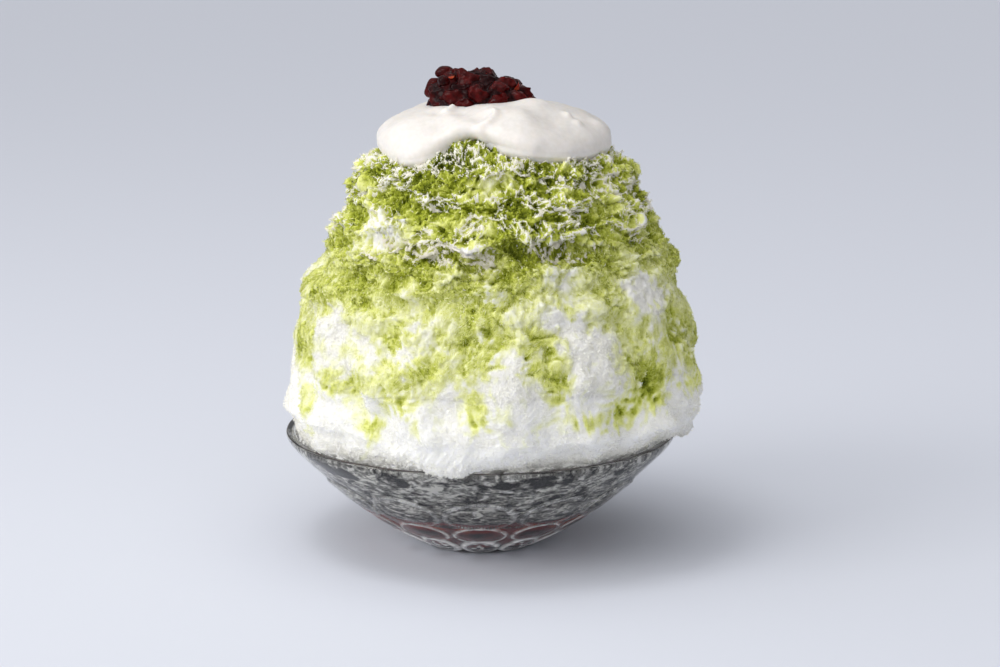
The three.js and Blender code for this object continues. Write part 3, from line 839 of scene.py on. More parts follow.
def craggy_ice(points, bent, height):
    """How far to push the upper ice out and down, and its frost. Out is the sum of tiers and sheets
    in two sizes each, crinkles, folds that hang between the tiers and clumps, less pits. Down is the
    droop of tiers and sheets. Frost lies in patches, along the lips and the sheets' edges."""
    deep = np.clip(0.8 + 1.3 * noise(bent, (15, 15, 9), 31), 0.1, 1.6)
    tier, lip_line = tiers(bent, height, TIER_MM, 33)
    small_tier, small_line = tiers(bent, height, SMALL_TIER_MM, 48)
    sheet_field = noise(bent, (14, 14, 6.0), 49)
    lace_field = noise(bent, (6.0, 6.0, 3.2), 38)
    sheet = (1 - np.clip(2.4 * np.abs(sheet_field), 0, 1)) ** 2
    lace = (1 - np.clip(2.4 * np.abs(lace_field), 0, 1)) ** 2
    crinkles = ridge(bent, (2.4, 2.4, 2.0), 39) ** 2
    folds = ridge(bent, (2.4, 2.4, 9), 41) * (1 - tier)
    clumps = 1.4 * noise(bent, 5.5, 42) + 0.8 * noise(bent, 2.6, 43)
    pits = soft_step(noise(bent, 1.9, 44), 0.2, 0.55)
    cover = noise(bent, (14, 14, 9), 46) + 0.4 * noise(bent, 3.0, 47)
    cover = soft_step(cover + 0.5 * soft_step(height, CROWDED_FROM, CROWDED_FULL), -0.12, 0.15)
    edges = np.maximum(thin_line(points, sheet_field, 0.3), 0.8 * thin_line(points, lace_field, 0.22))
    edges = np.maximum(edges, np.maximum(0.95 * lip_line, 0.9 * small_line))
    reach = height + FROST_WANDER * noise(bent, 24.0, 50)
    frost = cover * edges * soft_step(reach, FROST_FROM, FROST_FULL)
    out = deep * (2.4 * tier + 1.8 * sheet) + 1.2 * small_tier + lace + crinkles
    out = out + 1.8 * folds + clumps - 1.2 * pits + 0.5 * frost - CRAGS_SINK
    down = 1.5 * deep * np.maximum(tier, sheet) ** 2
    return out, down, frost


# %% Combed and puffy ice
PUFF_ROUNDING = 0.25
RIM_GRAIN_FROM = 62  # the grain grows coarser from this height down to the next
RIM_GRAIN_FULL = 50


def combed_ice(points):
    """Lumps, with long thin ridges that follow the way the syrup ran, and small deep pits."""
    lumps = 1.6 * noise(points, (12, 12, 14), 51) + 0.7 * noise(points, 5.5, 52)
    strands = 0.5 * ridge(points, (3.0, 3.0, 16), 53) + 0.4 * ridge(points, (1.5, 1.5, 9), 54)
    pits = soft_step(noise(points, (3.6, 3.6, 4.5), 55) + 0.5 * noise(points, 10.0, 57), 0.22, 0.5)
    return lumps + strands - 1.3 * pits - 0.5 + 0.2 * noise(points, 1.3, 56)


def puffs(points, size, seed):
    """Noise without its sign, with its creases rounded: the root of its square and a little more."""
    return np.sqrt(noise(points, size, seed) ** 2 + PUFF_ROUNDING**2) - PUFF_ROUNDING


def puffy_ice(points):
    """Wide soft puffs, lumps in two sizes, and a fine grain, which is coarser at the rim."""
    coarse = 1 + 1.2 * soft_step(points[..., 2], RIM_GRAIN_FROM, RIM_GRAIN_FULL)
    grain = 0.2 * noise(points, 3.0, 63) + 0.55 * noise(points, 1.4, 64)
    lumps = 0.9 * noise(points, 11.0, 62) + 0.25 * noise(points, 5.0, 65)
    return 5.2 * puffs(points, 21.0, 61) + lumps + coarse * grain - 0.9


# %% [markdown]
# The three kinds are blended by height and by syrup, with a border that wanders, so no line shows
# where one recipe ends. Syrup runs into the hollows, so a hollow is greener than a crest, and this
# darker green is also painted shade in the hollows.

# %% All kinds of ice together
CRAGS_FROM = 112
CRAGS_FULL = 132
COMBED_FROM = 90  # a little syrup is enough to comb the ice from this height up
COMBED_FULL = 115
BORDER_WANDER = 9
DRY_HOLLOW = 3.5  # how much deeper the dry ice lies among the crags
CRAG_POOLING_SHADE = 0.17  # how much darker green, as pooled syrup and painted shade, for each mm into a hollow
COMBED_POOLING_SHADE = 0.26
POOLING_SHADE_LIMITS = (0.6, 1.9)


def ice_texture(points, height, syrup):
    """How far to push each point out and down, how frosty it is, and how much syrup pools there, with
    painted shade in the hollows.
    """
    bent = points + 5.0 * noise_vector(points, 21.0, 6) + 1.5 * noise_vector(points, 6.0, 8)
    zone = height + BORDER_WANDER * noise(points, 20.0, 30)
    craggy = soft_step(zone, CRAGS_FROM, CRAGS_FULL) * soft_step(syrup, 0.0, 0.5)
    eager = 0.6 * soft_step(zone, COMBED_FROM, COMBED_FULL)
    combed = (1 - craggy) * soft_step(syrup + eager, 0.15, 0.7)
    crag_out, crag_down, crag_frost = craggy_ice(points, bent, height)
    puffy = 1 - craggy - combed
    out = craggy * crag_out + combed * combed_ice(bent)
    out = out + puffy * (puffy_ice(bent) - DRY_HOLLOW * soft_step(zone, CRAGS_FROM, CRAGS_FULL))
    pooled_syrup_and_shade = 1 - out * (craggy * CRAG_POOLING_SHADE + combed * COMBED_POOLING_SHADE)
    return out, craggy * crag_down, craggy * crag_frost, np.clip(pooled_syrup_and_shade, *POOLING_SHADE_LIMITS)


# %% [markdown]
# The mound is one solid, but it needs more points than one mesh should have. So it is four closed
# bodies, stacked like cups: each goes on a little under the next one, behind a torn line. Behind the
# glass the ice is pressed smooth and has begun to melt, which is a matter of colour alone, and there
# its colour also holds painted light and shade.

# %% Dressed ice
ICE_COLUMNS = 840
SINK = 3.0  # a body's end lies this deep under its neighbour
SINK_OVER = 2.5
TEAR = 2.4
WALL_LEAN = 1.6  # the glass outside lies this much further out than the ice
SHADED_POCKETS_AT = 76.5  # radius of the dark pockets under the rim: melt with painted shade
FLOODED_SHADE_FROM = 64  # melt water stands low in the bowl, and its darkness is painted shade, from this radius inwards
FLOODED_SHADE_FULL = 54
FREE_HEIGHTS = (48.0, 53.0)  # the ice leaves the glass between these heights
FREE_RADII = (82.5, 84.5)  # or between these radii, where it hangs over the rim
PRESSED_HEIGHTS = (171, 176)  # the cream presses the texture down between these heights
PRESSED_SHARE = 0.6
MOST_SYRUP = 1.6
RECESS_AT = -102  # where the cream's edge is drawn back
RECESS_WIDTH = 15
CREST_RISE = 3.5  # and how far the ice climbs there
CREST_HEIGHTS = (168, 174)
ice_angles = angles_round(ICE_COLUMNS)


def sunk(points, height, low, high):
    """How deep a body's end lies under its neighbour: a steep soft step beyond a torn line."""
    depth = 0.0
    for split, side in ((low, -1), (high, 1)):
        if split is not None:
            line = split + TEAR * noise(points * (1, 1, 0), 9.0, split)
            depth = depth + SINK * soft_step(side * (height - line), 0, SINK_OVER)
    return depth


def thaw_and_painted_light(points, radius, angle):
    """Thawed ice and painted light and shade behind the glass. It is dark, as less than 0, where the
    ice has thawed clear and where shade is painted: long dark patches under the rim, a torn dark arc
    along the top of each upper lens, and all that lies low in the bowl. In a lens's middle it is
    painted white as light, which is more than 0."""
    spread, rise = lens_place(radius + WALL_LEAN, angle, LENS_ROWS[2])
    painted_lens_crescent = bell(spread - 0.95, 0.16) * soft_step(rise, 0.1, 0.6)
    torn = np.clip(0.7 + 1.6 * noise(points, (6, 6, 3), 91), 0, 1.4)
    shaded_pockets = bell(radius - SHADED_POCKETS_AT, 1.5) * soft_step(noise(points, (13, 13, 5), 92), -0.05, 0.25)
    flooded_and_shaded = soft_step(radius, FLOODED_SHADE_FROM, FLOODED_SHADE_FULL)
    return 0.25 * bell(spread, 0.5) - torn * (0.6 * painted_lens_crescent + 0.9 * shaded_pockets) - 0.25 * flooded_and_shaded


def dress_ice(radius, height, shift, low, high):
    """Rings pushed out along the form's normal and then down, and the numbers that colour them."""
    base = polar(radius, ice_angles, height, shift)
    angle = np.broadcast_to(ice_angles, height.shape)
    syrup = syrup_share(base, angle, height)
    out, down, frost, pooled_syrup_and_shade = ice_texture(base, height, syrup)
    open_air = np.maximum(soft_step(height, *FREE_HEIGHTS), soft_step(radius, *FREE_RADII))
    recess = bell(turn_between(RECESS_AT, np.degrees(angle)), RECESS_WIDTH)
    free = open_air * (1 - PRESSED_SHARE * (1 - recess) * soft_step(height, *PRESSED_HEIGHTS))
    crest = CREST_RISE * recess * soft_step(height, *CREST_HEIGHTS)
    push = out * free + crest - sunk(base, height, low, high)
    points = base + ring_normals(base) * push[..., None]
    points[..., 2] -= down * free
    return points, {
        # syrup, darker green in hollows as pooled syrup and painted shade
        "syrup": syrup * pooled_syrup_and_shade / MOST_SYRUP,
        "frost": frost,
        "in_bowl": 1 - open_air,
        "thaw_and_painted_light": thaw_and_painted_light(base, radius, ice_angles),
    }


# %% [markdown]
# Rows lie 0.4 mm apart, which is finer than the smallest clump. The lowest body begins inside the
# bowl and comes out over the rim. Each body runs on past its end, to lie under its neighbour.

# %% Ice bodies
SPLITS = (80, 108, 139)  # heights where one body of ice goes under the next
MARGIN = 5.0
ROW_MM = 0.42
WAIST_ROW_MM = 0.4
CROWN_FROM = 172  # above this height the rows draw closer together
CROWN_ROWS = 18
CROWN_CROWDING = 1.6
BOWL_ROWS = 12
RIM_ROWS = 42
SHOWN_TO = 175  # loose flakes are laid up to this height, where the cream covers the ice


def ice_body(name, rows, low, high):
    """One closed body of ice from rows of (radius, height, shift) and the lines it ends at. Shown is
    where nothing lies over it, so that flakes can be laid there."""
    points, marks = dress_ice(*rows, low, high)
    bottom = points[0].mean(axis=0)
    top = points[-1].mean(axis=0)
    piece = ring_piece(name, points, bottom, top)
    for mark, values in marks.items():
        set_attribute(piece, mark, np.concatenate([values[:1, 0], values.ravel(), values[-1:, 0]]))
    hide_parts("shaved_ice")
    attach(piece, "root")
    shown = (rows[1] > (low or 0)) & (rows[1] < (high or SHOWN_TO))
    return piece, points, marks, shown


def mound_rows(heights):
    """Rows of the mound at the given heights."""
    height = np.broadcast_to(heights[:, None], (len(heights), ICE_COLUMNS)).astype(float)
    return mound_radius(ice_angles, height), height, mound_shift(height)


edge_keys = rim_keys(ice_angles)
edge_rows = through_keys(edge_keys, np.concatenate([
    np.linspace(0, len(ICE_WALL_RADII), BOWL_ROWS)[:-1],
    np.linspace(len(ICE_WALL_RADII), len(edge_keys) - 2, RIM_ROWS)[:-1],
]))
over_rim = (edge_rows[..., 0], edge_rows[..., 1], mound_shift(edge_rows[..., 1]))
lower_side = mound_rows(np.arange(MOUND_BELLY_HEIGHT, SPLITS[0] + MARGIN, ROW_MM))
lower = tuple(np.concatenate([first, second]) for first, second in zip(over_rim, lower_side))
waist = mound_rows(np.arange(SPLITS[0] - MARGIN, SPLITS[1] + MARGIN, WAIST_ROW_MM))
middle = mound_rows(np.arange(SPLITS[1] - MARGIN, SPLITS[2] + MARGIN, ROW_MM))
crown_steps = np.linspace(1, 0, CROWN_ROWS)[:-1] ** CROWN_CROWDING
upper = mound_rows(np.concatenate([
    np.arange(SPLITS[2] - MARGIN, CROWN_FROM, ROW_MM),
    MOUND_TOP - (MOUND_TOP - CROWN_FROM) * crown_steps,
]))
ice = [
    ice_body("ice_lower", lower, None, SPLITS[0]),
    ice_body("ice_waist", waist, SPLITS[0], SPLITS[1]),
    ice_body("ice_middle", middle, SPLITS[1], SPLITS[2]),
    ice_body("ice_upper", upper, SPLITS[2], None),
]

# %% [markdown]
# Shaved ice is frozen water in thin flakes with air between them, so light goes in, scatters and
# comes out nearby: white where dry, and coloured through where syrup fills the gaps. Base colour
# follows the syrup number, and frost whitens the lips. Real grain is finer than a picture shows, so
# it is drawn 0.9 mm wide. Behind the glass the colour is a mottle of dark speckles between white
# clots: clear melt water and painted shade.

# %% Ice material
GRAIN_MM = 0.9
MELT_MM = 2.2
MELT_PATCHES = 3.6  # patches of melt are this many times as wide as its speckles
FLATTER = (1.0, 1.0, 2.4)  # they lie flat, so heights count this many times
DRY_SCATTER_MM = 3.4
SOAKED_SCATTER_MM = 1.2


def ice_material(name, scatter, roughness):
    """Ice that takes its colour from the piece's numbers for syrup, frost, in_bowl and the melt
    behind the glass; syrup and melt also carry painted light and shade.
    """
    material, tree, output = new_material(name)
    place = add_node(tree, "ShaderNodeTexCoord").outputs["Object"]
    syrup, frost, in_bowl, thaw_and_painted_light = (
        add_node(tree, "ShaderNodeAttribute", attribute_name=mark).outputs["Fac"]
        for mark in ("syrup", "frost", "in_bowl", "thaw_and_painted_light")
    )
    grain = add_node(tree, "ShaderNodeTexNoise", {
        "Vector": place, "Scale": 1 / (GRAIN_MM * MM), "Detail": 3.0, "Roughness": 0.65,
    }).outputs["Fac"]
    mottle = add_node(tree, "ShaderNodeMath", {0: grain, 1: 0.9, 2: 0.55},
                      operation="MULTIPLY_ADD").outputs[0]
    amount = add_node(tree, "ShaderNodeMath", {0: syrup, 1: mottle}, operation="MULTIPLY",
                      use_clamp=True).outputs[0]
    green = add_node(tree, "ShaderNodeValToRGB", {"Fac": amount}, stops=[
        (0.0, "#fefcf4"), (0.1, "#fafae2"), (0.22, "#f2f3bc"), (0.36, "#e1e48c"), (0.5, "#c3c957"),
        (0.64, "#98a128"), (0.82, "#606b0c"), (1.0, "#3f4904"),
    ]).outputs["Color"]
    crumbly = add_node(tree, "ShaderNodeMath", {0: grain, 1: 0.6, 2: frost},
                       operation="MULTIPLY_ADD").outputs[0]
    frosting = add_node(tree, "ShaderNodeMapRange", {
        "Value": crumbly, "From Min": 0.75, "From Max": 1.0,
    }).outputs["Result"]
    frosted = add_node(tree, "ShaderNodeMix", {
        MIX_FACTOR: frosting, MIX_A: green, MIX_B: "#fdf8ec",
    }, data_type="RGBA").outputs[MIX_RESULT]
    flatter = add_node(tree, "ShaderNodeVectorMath", {0: place, 1: FLATTER},
                       operation="MULTIPLY").outputs["Vector"]
    patchy = add_node(tree, "ShaderNodeTexNoise", {
        "Vector": flatter, "Scale": 1 / (MELT_PATCHES * MELT_MM * MM), "Detail": 3.0,
        "Distortion": 1.5,
    }).outputs["Fac"]
    speckle = add_node(tree, "ShaderNodeTexNoise", {
        "Vector": flatter, "Scale": 1 / (MELT_MM * MM), "Detail": 5.0, "Roughness": 0.5,
        "Distortion": 0.8,
    }).outputs["Fac"]
    # painted light and shade of the ice behind the glass, with its melt patches
    wetness_and_shade = add_node(tree, "ShaderNodeMath", {0: thaw_and_painted_light, 1: 0.6, 2: patchy},
                       operation="MULTIPLY_ADD").outputs[0]
    melt = add_node(tree, "ShaderNodeMath", {0: speckle, 1: 0.7, 2: wetness_and_shade},
                    operation="MULTIPLY_ADD").outputs[0]
    share = add_node(tree, "ShaderNodeMapRange", {
        "Value": melt, "From Min": 0.6, "From Max": 0.98,
    }).outputs["Result"]
    # near black: clear melt and painted shade behind the glass
    melt_and_shade_colour = add_node(tree, "ShaderNodeValToRGB", {"Fac": share}, stops=[
        (0.0, "#020101"), (0.16, "#0f0e0e"), (0.3, "#62605d"), (0.62, "#9c9b97"), (1.0, "#f8f7f3"),
    ]).outputs["Color"]
    colour = add_node(tree, "ShaderNodeMix", {
        MIX_FACTOR: in_bowl, MIX_A: frosted, MIX_B: melt_and_shade_colour,
    }, data_type="RGBA").outputs[MIX_RESULT]
    depth = add_node(tree, "ShaderNodeMapRange", {
        "Value": syrup, "From Min": 0.05, "From Max": 0.45,
        "To Min": DRY_SCATTER_MM * MM, "To Max": SOAKED_SCATTER_MM * MM,
    }).outputs["Result"]
    bump = add_node(tree, "ShaderNodeBump", {
        "Height": grain, "Strength": 0.8, "Distance": 0.5 * MM,
    })
    shader = add_node(tree, "ShaderNodeBsdfPrincipled", {
        "Base Color": colour, "Roughness": roughness, "IOR": 1.31, "Specular IOR Level": 0.3,
        "Subsurface Weight": scatter, "Subsurface Radius": (1.0, 1.0, 0.85),
        "Subsurface Scale": depth, "Normal": bump.outputs["Normal"],
    })
    tree.links.new(shader.outputs["BSDF"], output.inputs["Surface"])
    return material


packed_ice = ice_material("packed_shaved_ice", 0.8, 0.5)
for piece, *_ in ice:
    piece.data.materials.append(packed_ice)

# %% [markdown]
# ## The mound of ice: loose flakes
# The blade cuts curled slivers, and the heap's surface bristles with them. Hair or instances could
# scatter them, but joined meshes are simple and exact. Each sliver is a slim tetrahedron: two tips
# and a raised edge between them, four faces in all. Thousands are laid on the bodies at random
# places, along a flow that wanders over the mound, and take the ice's own numbers.

# %% Where flakes lie
def host_places(body, count, rng, weight):
    """Random places on a body, each as likely as its weight: position, normal, the way up the body
    and the body's numbers there."""
    _, points, marks, shown = body
    chance = (shown * weight(points, marks)).ravel()
    chosen = rng.choice(chance.size, count, p=chance / chance.sum())
    row, column = np.divmod(chosen, points.shape[1])
    row = np.clip(row, 2, points.shape[0] - 3)
    ahead = (column + 2) % points.shape[1]
    behind = (column - 2) % points.shape[1]
    side = points[row, ahead] - points[row, behind]
    up = points[row + 2, column] - points[row - 2, column]
    place = points[row, column] + side * rng.uniform(-0.2, 0.2, (count, 1))
    place = place + up * rng.uniform(-0.2, 0.2, (count, 1))
    normal = unit(np.cross(side, up))
    return place, normal, unit(up), {mark: values[row, column] for mark, values in marks.items()}


# %% Slivers
SLIVER_CORNERS = np.array([(0, 2, 1), (0, 1, 3), (1, 2, 3), (2, 0, 3)])
FLOW_MM = 17.0  # the flow changes its way over this distance


def anywhere(points, marks):
    """The same chance all over a body."""
    return 1.0


def flakes(name, hosts, count, look, seed, weight=anywhere, frosty=0.0):
    """Slim slivers on the hosts. Look gives ranges of length, of width, of the tip's lift and of how
    far each one is raised, the flow's turn from upright and its spread in degrees, how high the edge
    stands as a share of the width, and how much the syrup varies. Frosty is the least frost."""
    rng = np.random.default_rng(seed)
    share = np.array([body[3].sum() for body in hosts], float)
    counts = (count * share / share.sum()).astype(int)
    found = [host_places(body, number, rng, weight) for body, number in zip(hosts, counts)]
    place, normal, up = (np.concatenate([each[part] for each in found]) for part in range(3))
    marks = {mark: np.concatenate([each[3][mark] for each in found]) for mark in found[0][3]}
    total = len(place)
    side = np.cross(up, normal)
    turn = look["turn"] * noise(place, FLOW_MM, seed) + rng.normal(0, look["spread"], total)
    turn = np.radians(turn)[:, None]
    lift = rng.uniform(*look["lift"], (total, 1))
    along = unit(np.cos(turn) * up + np.sin(turn) * side + lift * normal)
    across = unit(np.cross(normal, along))
    outward = np.cross(along, across)
    length = rng.uniform(*look["length"], (total, 1)) * rng.uniform(0.6, 1.0, (total, 1))
    width = rng.uniform(*look["width"], (total, 1))
    centre = place + normal * rng.uniform(*look["raised"], (total, 1))
    edge = width * across / 2
    keel = look["edge_rise"] * width * outward
    points = np.stack([
        centre - along * length / 2,
        centre + along * length / 2,
        centre + edge + keel,
        centre - edge + keel,
    ], axis=1)
    triangles = SLIVER_CORNERS[None] + 4 * np.arange(total)[:, None, None]
    piece = new_piece(name, points.reshape(-1, 3), np.zeros((0, 4), int),
                      triangles.reshape(-1, 3), smooth=False)
    own = rng.normal(0, look["tint"], total)
    for mark, values in marks.items():
        if mark == "syrup":
            values = np.clip(values * (1 + own), 0, 1)
        if mark == "frost":
            values = np.maximum(values, frosty)
        set_attribute(piece, mark, np.repeat(values, 4))
    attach(piece, "root")
    return piece


# %% [markdown]
# Five kinds are laid: powder on the dry snow, slivers on it and higher up, long strands where syrup
# ran, shreds among the crags, and crumbs of frost along the lips. Flakes are glossier than packed
# ice, and too thin for light to scatter inside.

# %% Flakes on the ice
FLAKES = 49500  # of each kind, with four triangles each
POWDER_FROM = 62  # there is more powder from this height down to the next
POWDER_FULL = 52
loose_ice = ice_material("loose_ice_flakes", 0.0, 0.25)
ice_lower, ice_waist, ice_middle, ice_upper = ice


def dry(points, marks):
    """Where the ice has little syrup, and most of all at the rim."""
    rim = 1 + 2 * soft_step(points[..., 2], POWDER_FROM, POWDER_FULL)
    return rim * (0.75 - marks["syrup"]).clip(0.05) * (marks["in_bowl"] < 0.3)


def on_lips(points, marks):
    """Along the frosty lips of the tiers."""
    return soft_step(marks["frost"], 0.55, 0.95) + TINY


powder = flakes("fine_powder", [ice_lower, ice_waist], FLAKES, {
    "length": (0.6, 1.6), "width": (0.3, 0.6), "edge_rise": 0.5, "turn": 90, "spread": 90,
    "lift": (-0.5, 2.0), "raised": (-0.15, 0.6), "tint": 0.15,
}, 71, dry)
slivers = flakes("coarse_slivers", [ice_lower, ice_waist, ice_middle], FLAKES, {
    "length": (0.8, 2.2), "width": (0.18, 0.36), "edge_rise": 0.4, "turn": 90, "spread": 60,
    "lift": (-0.15, 0.35), "raised": (-0.1, 0.3), "tint": 0.18,
}, 75)
strands = flakes("combed_strands", [ice_waist, ice_middle], FLAKES, {
    "length": (1.6, 4.5), "width": (0.16, 0.28), "edge_rise": 0.5, "turn": 110, "spread": 25,
    "lift": (-0.05, 0.12), "raised": (-0.1, 0.25), "tint": 0.25,
}, 72)
shreds = flakes("crag_shreds", [ice_upper, ice_middle], FLAKES, {
    "length": (0.9, 2.6), "width": (0.25, 0.5), "edge_rise": 0.5, "turn": 90, "spread": 55,
    "lift": (-0.2, 0.3), "raised": (-0.1, 0.35), "tint": 0.3,
}, 73)
crumbs = flakes("frost_crumbs", [ice_upper, ice_middle], FLAKES, {
    "length": (0.35, 0.75), "width": (0.18, 0.34), "edge_rise": 0.7, "turn": 180, "spread": 90,
    "lift": (-0.5, 0.8), "raised": (0.0, 0.3), "tint": 0.0,
}, 74, on_lips, frosty=1.0)
for piece in (powder, slivers, strands, shreds, crumbs):
    piece.data.materials.append(loose_ice)

# %% [markdown]
# ## Cream
# Soft whipped cream, spooned on and let go, so its edge slumps into scallops. It could be sculpted,
# but a cap is simple to say: the top is half an ellipse in section, the edge rolls under, and slow
# swells, dents and folds are left by the spoon.

# %% Cream sizes
CREAM_CENTRE_X = 5.7
CREAM_RADIUS = 48.5
CREAM_EDGE_HEIGHT = 173.6
CREAM_DOME = 15.4
CREAM_LIP = 5.5
CREAM_SCALLOPS = [  # angle, half width in degrees, run out, sag
    (-137, 22, 1.5, 5.5), (-103, 19, -14.5, -2.2), (-45, 26, 1.5, 2.5), (10, 18, 0.0, -1.0),
    (55, 24, 1.5, 4.0), (100, 18, -3.0, -2.0), (150, 24, 1.0, 3.0),
]
CREAM_SWELLS = [  # x and y from the cap's centre, half width, height
    (-24, -16, 10, 1.2), (4, -22, 12, 1.6), (30, -12, 9, 1.0), (-6, -30, 6, -1.0),
    (-5, 2, 18, -2.2), (14, 26, 12, 1.4), (-22, 20, 11, 1.2),
]
CREAM_SPOONING = [  # x, y, radius of a ring or 0 for a dome, half width, height
    (-37, -24, 0, 9, 1.8), (-22, -31, 0, 5, -1.5), (-24, -20, 0, 4, -1.0), (-20, -17, 3.4, 1.2, 1.5),
    (-5, -31, 5.5, 1.6, 1.3), (-5, -31, 0, 3.5, -0.8), (30, -20, 0, 2.0, 1.5),
    (34, -23, 0, 1.8, 1.2), (32, -18, 0, 2.0, -0.9), (12, -31, 0, 6, 0.9), (22, -29, 0, 7, -0.9),
    (43, -14, 0, 4, 1.3), (44, -3, 0, 5, -1.0), (17, -15, 0, 8, 3.2), (-13, -24, 0, 5, -1.6),
    (-30, 24, 0, 7, 1.2), (10, 33, 0, 7, 1.2), (27, 22, 0, 4, -1.0), (-8, 30, 0, 5, -0.9),
]
print(len(CREAM_SCALLOPS), "scallops and", len(CREAM_SPOONING), "marks of the spoon")

# %% [markdown]
# The cap's widest line wanders with the scallops, and the dome rises from it. The spoon's marks come
# last. They push the skin along its own normals, so that a fold also stands out on the steep side.

# %% Cream form
def spooning(x, y):
    """Domes, dents and curved folds that a spoon leaves: each a bell of the distance to its line. A
    fold fades out on its far left side, so it stays half a ring."""
    relief = 0.0
    for mark_x, mark_y, ring, width, height in CREAM_SPOONING:
        line = bell(np.hypot(x - mark_x, y - mark_y) - ring, width)
        if ring:
            line = line * soft_step((x - mark_x) - 0.6 * (y - mark_y), -0.5 * ring, 0.7 * ring)
        relief = relief + height * line
    return relief


def cream_edge(angle):
    """Radius and height of the cap's widest line, moved by each scallop's bell."""
    degrees = np.degrees(angle)
    radius = CREAM_RADIUS + np.zeros_like(angle)
    height = CREAM_EDGE_HEIGHT + np.zeros_like(angle)
    for scallop_angle, width, run, drop in CREAM_SCALLOPS:
        side = bell(turn_between(scallop_angle, degrees), width)
        radius = radius + run * side
        height = height - drop * side
    return radius, height


def cream_top(angle, share):
    """A point of the dome: share 0 is the middle and 1 the edge, a quarter turn of an ellipse."""
    edge_radius, edge_height = cream_edge(angle)
    reach = mix(CREAM_RADIUS, edge_radius, share**2)
    height = mix(CREAM_EDGE_HEIGHT, edge_height, share**2)
    radius = reach * np.sin(share * math.pi / 2)
    height = height + CREAM_DOME * np.cos(share * math.pi / 2)
    x = radius * np.cos(angle)
    y = radius * np.sin(angle)
    for swell_x, swell_y, width, swell in CREAM_SWELLS:
        height = height + swell * bell(np.hypot(x - swell_x, y - swell_y), width)
    return np.stack([CREAM_CENTRE_X + x, y, height], axis=-1)


# %% Cream mesh
CREAM_COLUMNS = 300
DOME_ROWS = 90
DOME_END = 0.02  # the last ring is this share of the way from the middle to the edge
ROLL_ROWS = 30
ROLL_END = 2.95  # the roll stops just short of the dome's first ring
cream_angles = angles_round(CREAM_COLUMNS)
top_shares = np.linspace(1, DOME_END, DOME_ROWS)[:, None]
cream_dome = cream_top(cream_angles, top_shares)
edge_radius, edge_height = cream_edge(cream_angles)
roll_keys = np.stack([
    polar(0.6 * edge_radius, cream_angles, edge_height - CREAM_LIP, CREAM_CENTRE_X),
    polar(0.9 * edge_radius, cream_angles, edge_height - CREAM_LIP, CREAM_CENTRE_X),
    polar(edge_radius - 0.4, cream_angles, edge_height - 0.5 * CREAM_LIP, CREAM_CENTRE_X),
    cream_dome[0],
])
cream_roll = through_keys(roll_keys, np.linspace(0, ROLL_END, ROLL_ROWS))
cream_points = np.concatenate([cream_roll, cream_dome])
cream_relief = spooning(cream_points[..., 0] - CREAM_CENTRE_X, cream_points[..., 1])
cream_relief += 0.7 * noise(cream_points, 15.0, 80) + 0.25 * noise(cream_points, 6.0, 81)
cream_points = cream_points + ring_normals(cream_points) * cream_relief[..., None]
cream = ring_piece(
    "whipped_cream_cap",
    cream_points,
    (CREAM_CENTRE_X, 0, CREAM_EDGE_HEIGHT - CREAM_LIP),
    cream_top(np.zeros(1), np.zeros(1))[0],
)
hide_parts("cream_cap")
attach(cream, "root")

# %% [markdown]
# Whipped cream is fat and air: light goes a few millimetres into it, which softens every shadow. The
# surface is satin, with a trace of the bubbles. Those are drawn a good deal coarser than they are.

# %% Cream material
BUBBLE_MM = 2.2
CREAM_SCATTER_MM = 3.5
cream_look, tree, output = new_material("softly_whipped_cream")
place = add_node(tree, "ShaderNodeTexCoord").outputs["Object"]
bubbles = add_node(tree, "ShaderNodeTexNoise", {
    "Vector": place, "Scale": 1 / (BUBBLE_MM * MM), "Detail": 3.0,
}).outputs["Fac"]
bump = add_node(tree, "ShaderNodeBump", {
    "Height": bubbles, "Strength": 0.12, "Distance": 0.2 * MM,
})
tint = add_node(tree, "ShaderNodeValToRGB", {"Fac": bubbles}, stops=[
    (0.3, "#dfdad4"), (0.7, "#e7e2dd"),
]).outputs["Color"]
shader = add_node(tree, "ShaderNodeBsdfPrincipled", {
    "Base Color": tint, "Roughness": 0.42, "IOR": 1.45, "Subsurface Weight": 0.7,
    "Subsurface Radius": (1.0, 0.85, 0.65), "Subsurface Scale": CREAM_SCATTER_MM * MM,
    "Normal": bump.outputs["Normal"],
})
tree.links.new(shader.outputs["BSDF"], output.inputs["Surface"])
cream.data.materials.append(cream_look)
print("cream lets light", CREAM_SCATTER_MM, "mm in")

# %% [markdown]
# ## Azuki beans on top
# A spoonful of beans boiled soft in sugar: most are half melted into the paste, a few are whole, and
# some have lost their skins. The heap is one surface. Each sunken bean lifts it by a dome, and domes
# that meet run into each other. Whole beans and loose skins lie on it as pieces of their own.

# %% Heap form
HEAP_CENTRE = np.array([0.4, 2.0, 186.4])
HEAP_RADII = np.array([23.0, 17.8, 14.0])
HEAP_LEAN = 0.36
HEAP_ROOT = 5.0
HEAP_FOCUS = 4.0  # the heap grows outwards from a point this far under its centre
HEAP_COLUMNS = 280
HEAP_ROWS = 120
HEAP_LIFTS = (-26, 89)  # degrees from its foot to its top
HEAP_SLUMP = 2.4
POLE_TONE = 0.3  # the colour number at the heap's top and root
BEAN_RADII = np.array([5.0, 4.1, 3.4])
SUNKEN_BEANS = 32
SUNKEN_SCATTER = 0.8
SUNKEN_DEPTH = 0.4
SUNKEN_RISE = 2.5
PASTE_LEVEL = 1.5  # how far the paste lies under the beans' tops


def heap_point(angle, lift):
    """The heap's surface: steep and high at -X, a rounded top, then a long fall to +X."""
    flat = np.cos(lift) ** 0.9
    lean = 1 - HEAP_LEAN * flat * np.cos(angle)
    unit_point = np.stack([flat * np.cos(angle), flat * np.sin(angle), np.sin(lift) * lean], axis=-1)
    return HEAP_CENTRE + HEAP_RADII * unit_point


def heap_places(count):
    """Sites spread over the heap by the golden ratio."""
    index = np.arange(count)
    return heap_point(index * TURN * GOLDEN_RATIO, np.arcsin(-0.2 + 1.19 * (index + 0.5) / count))
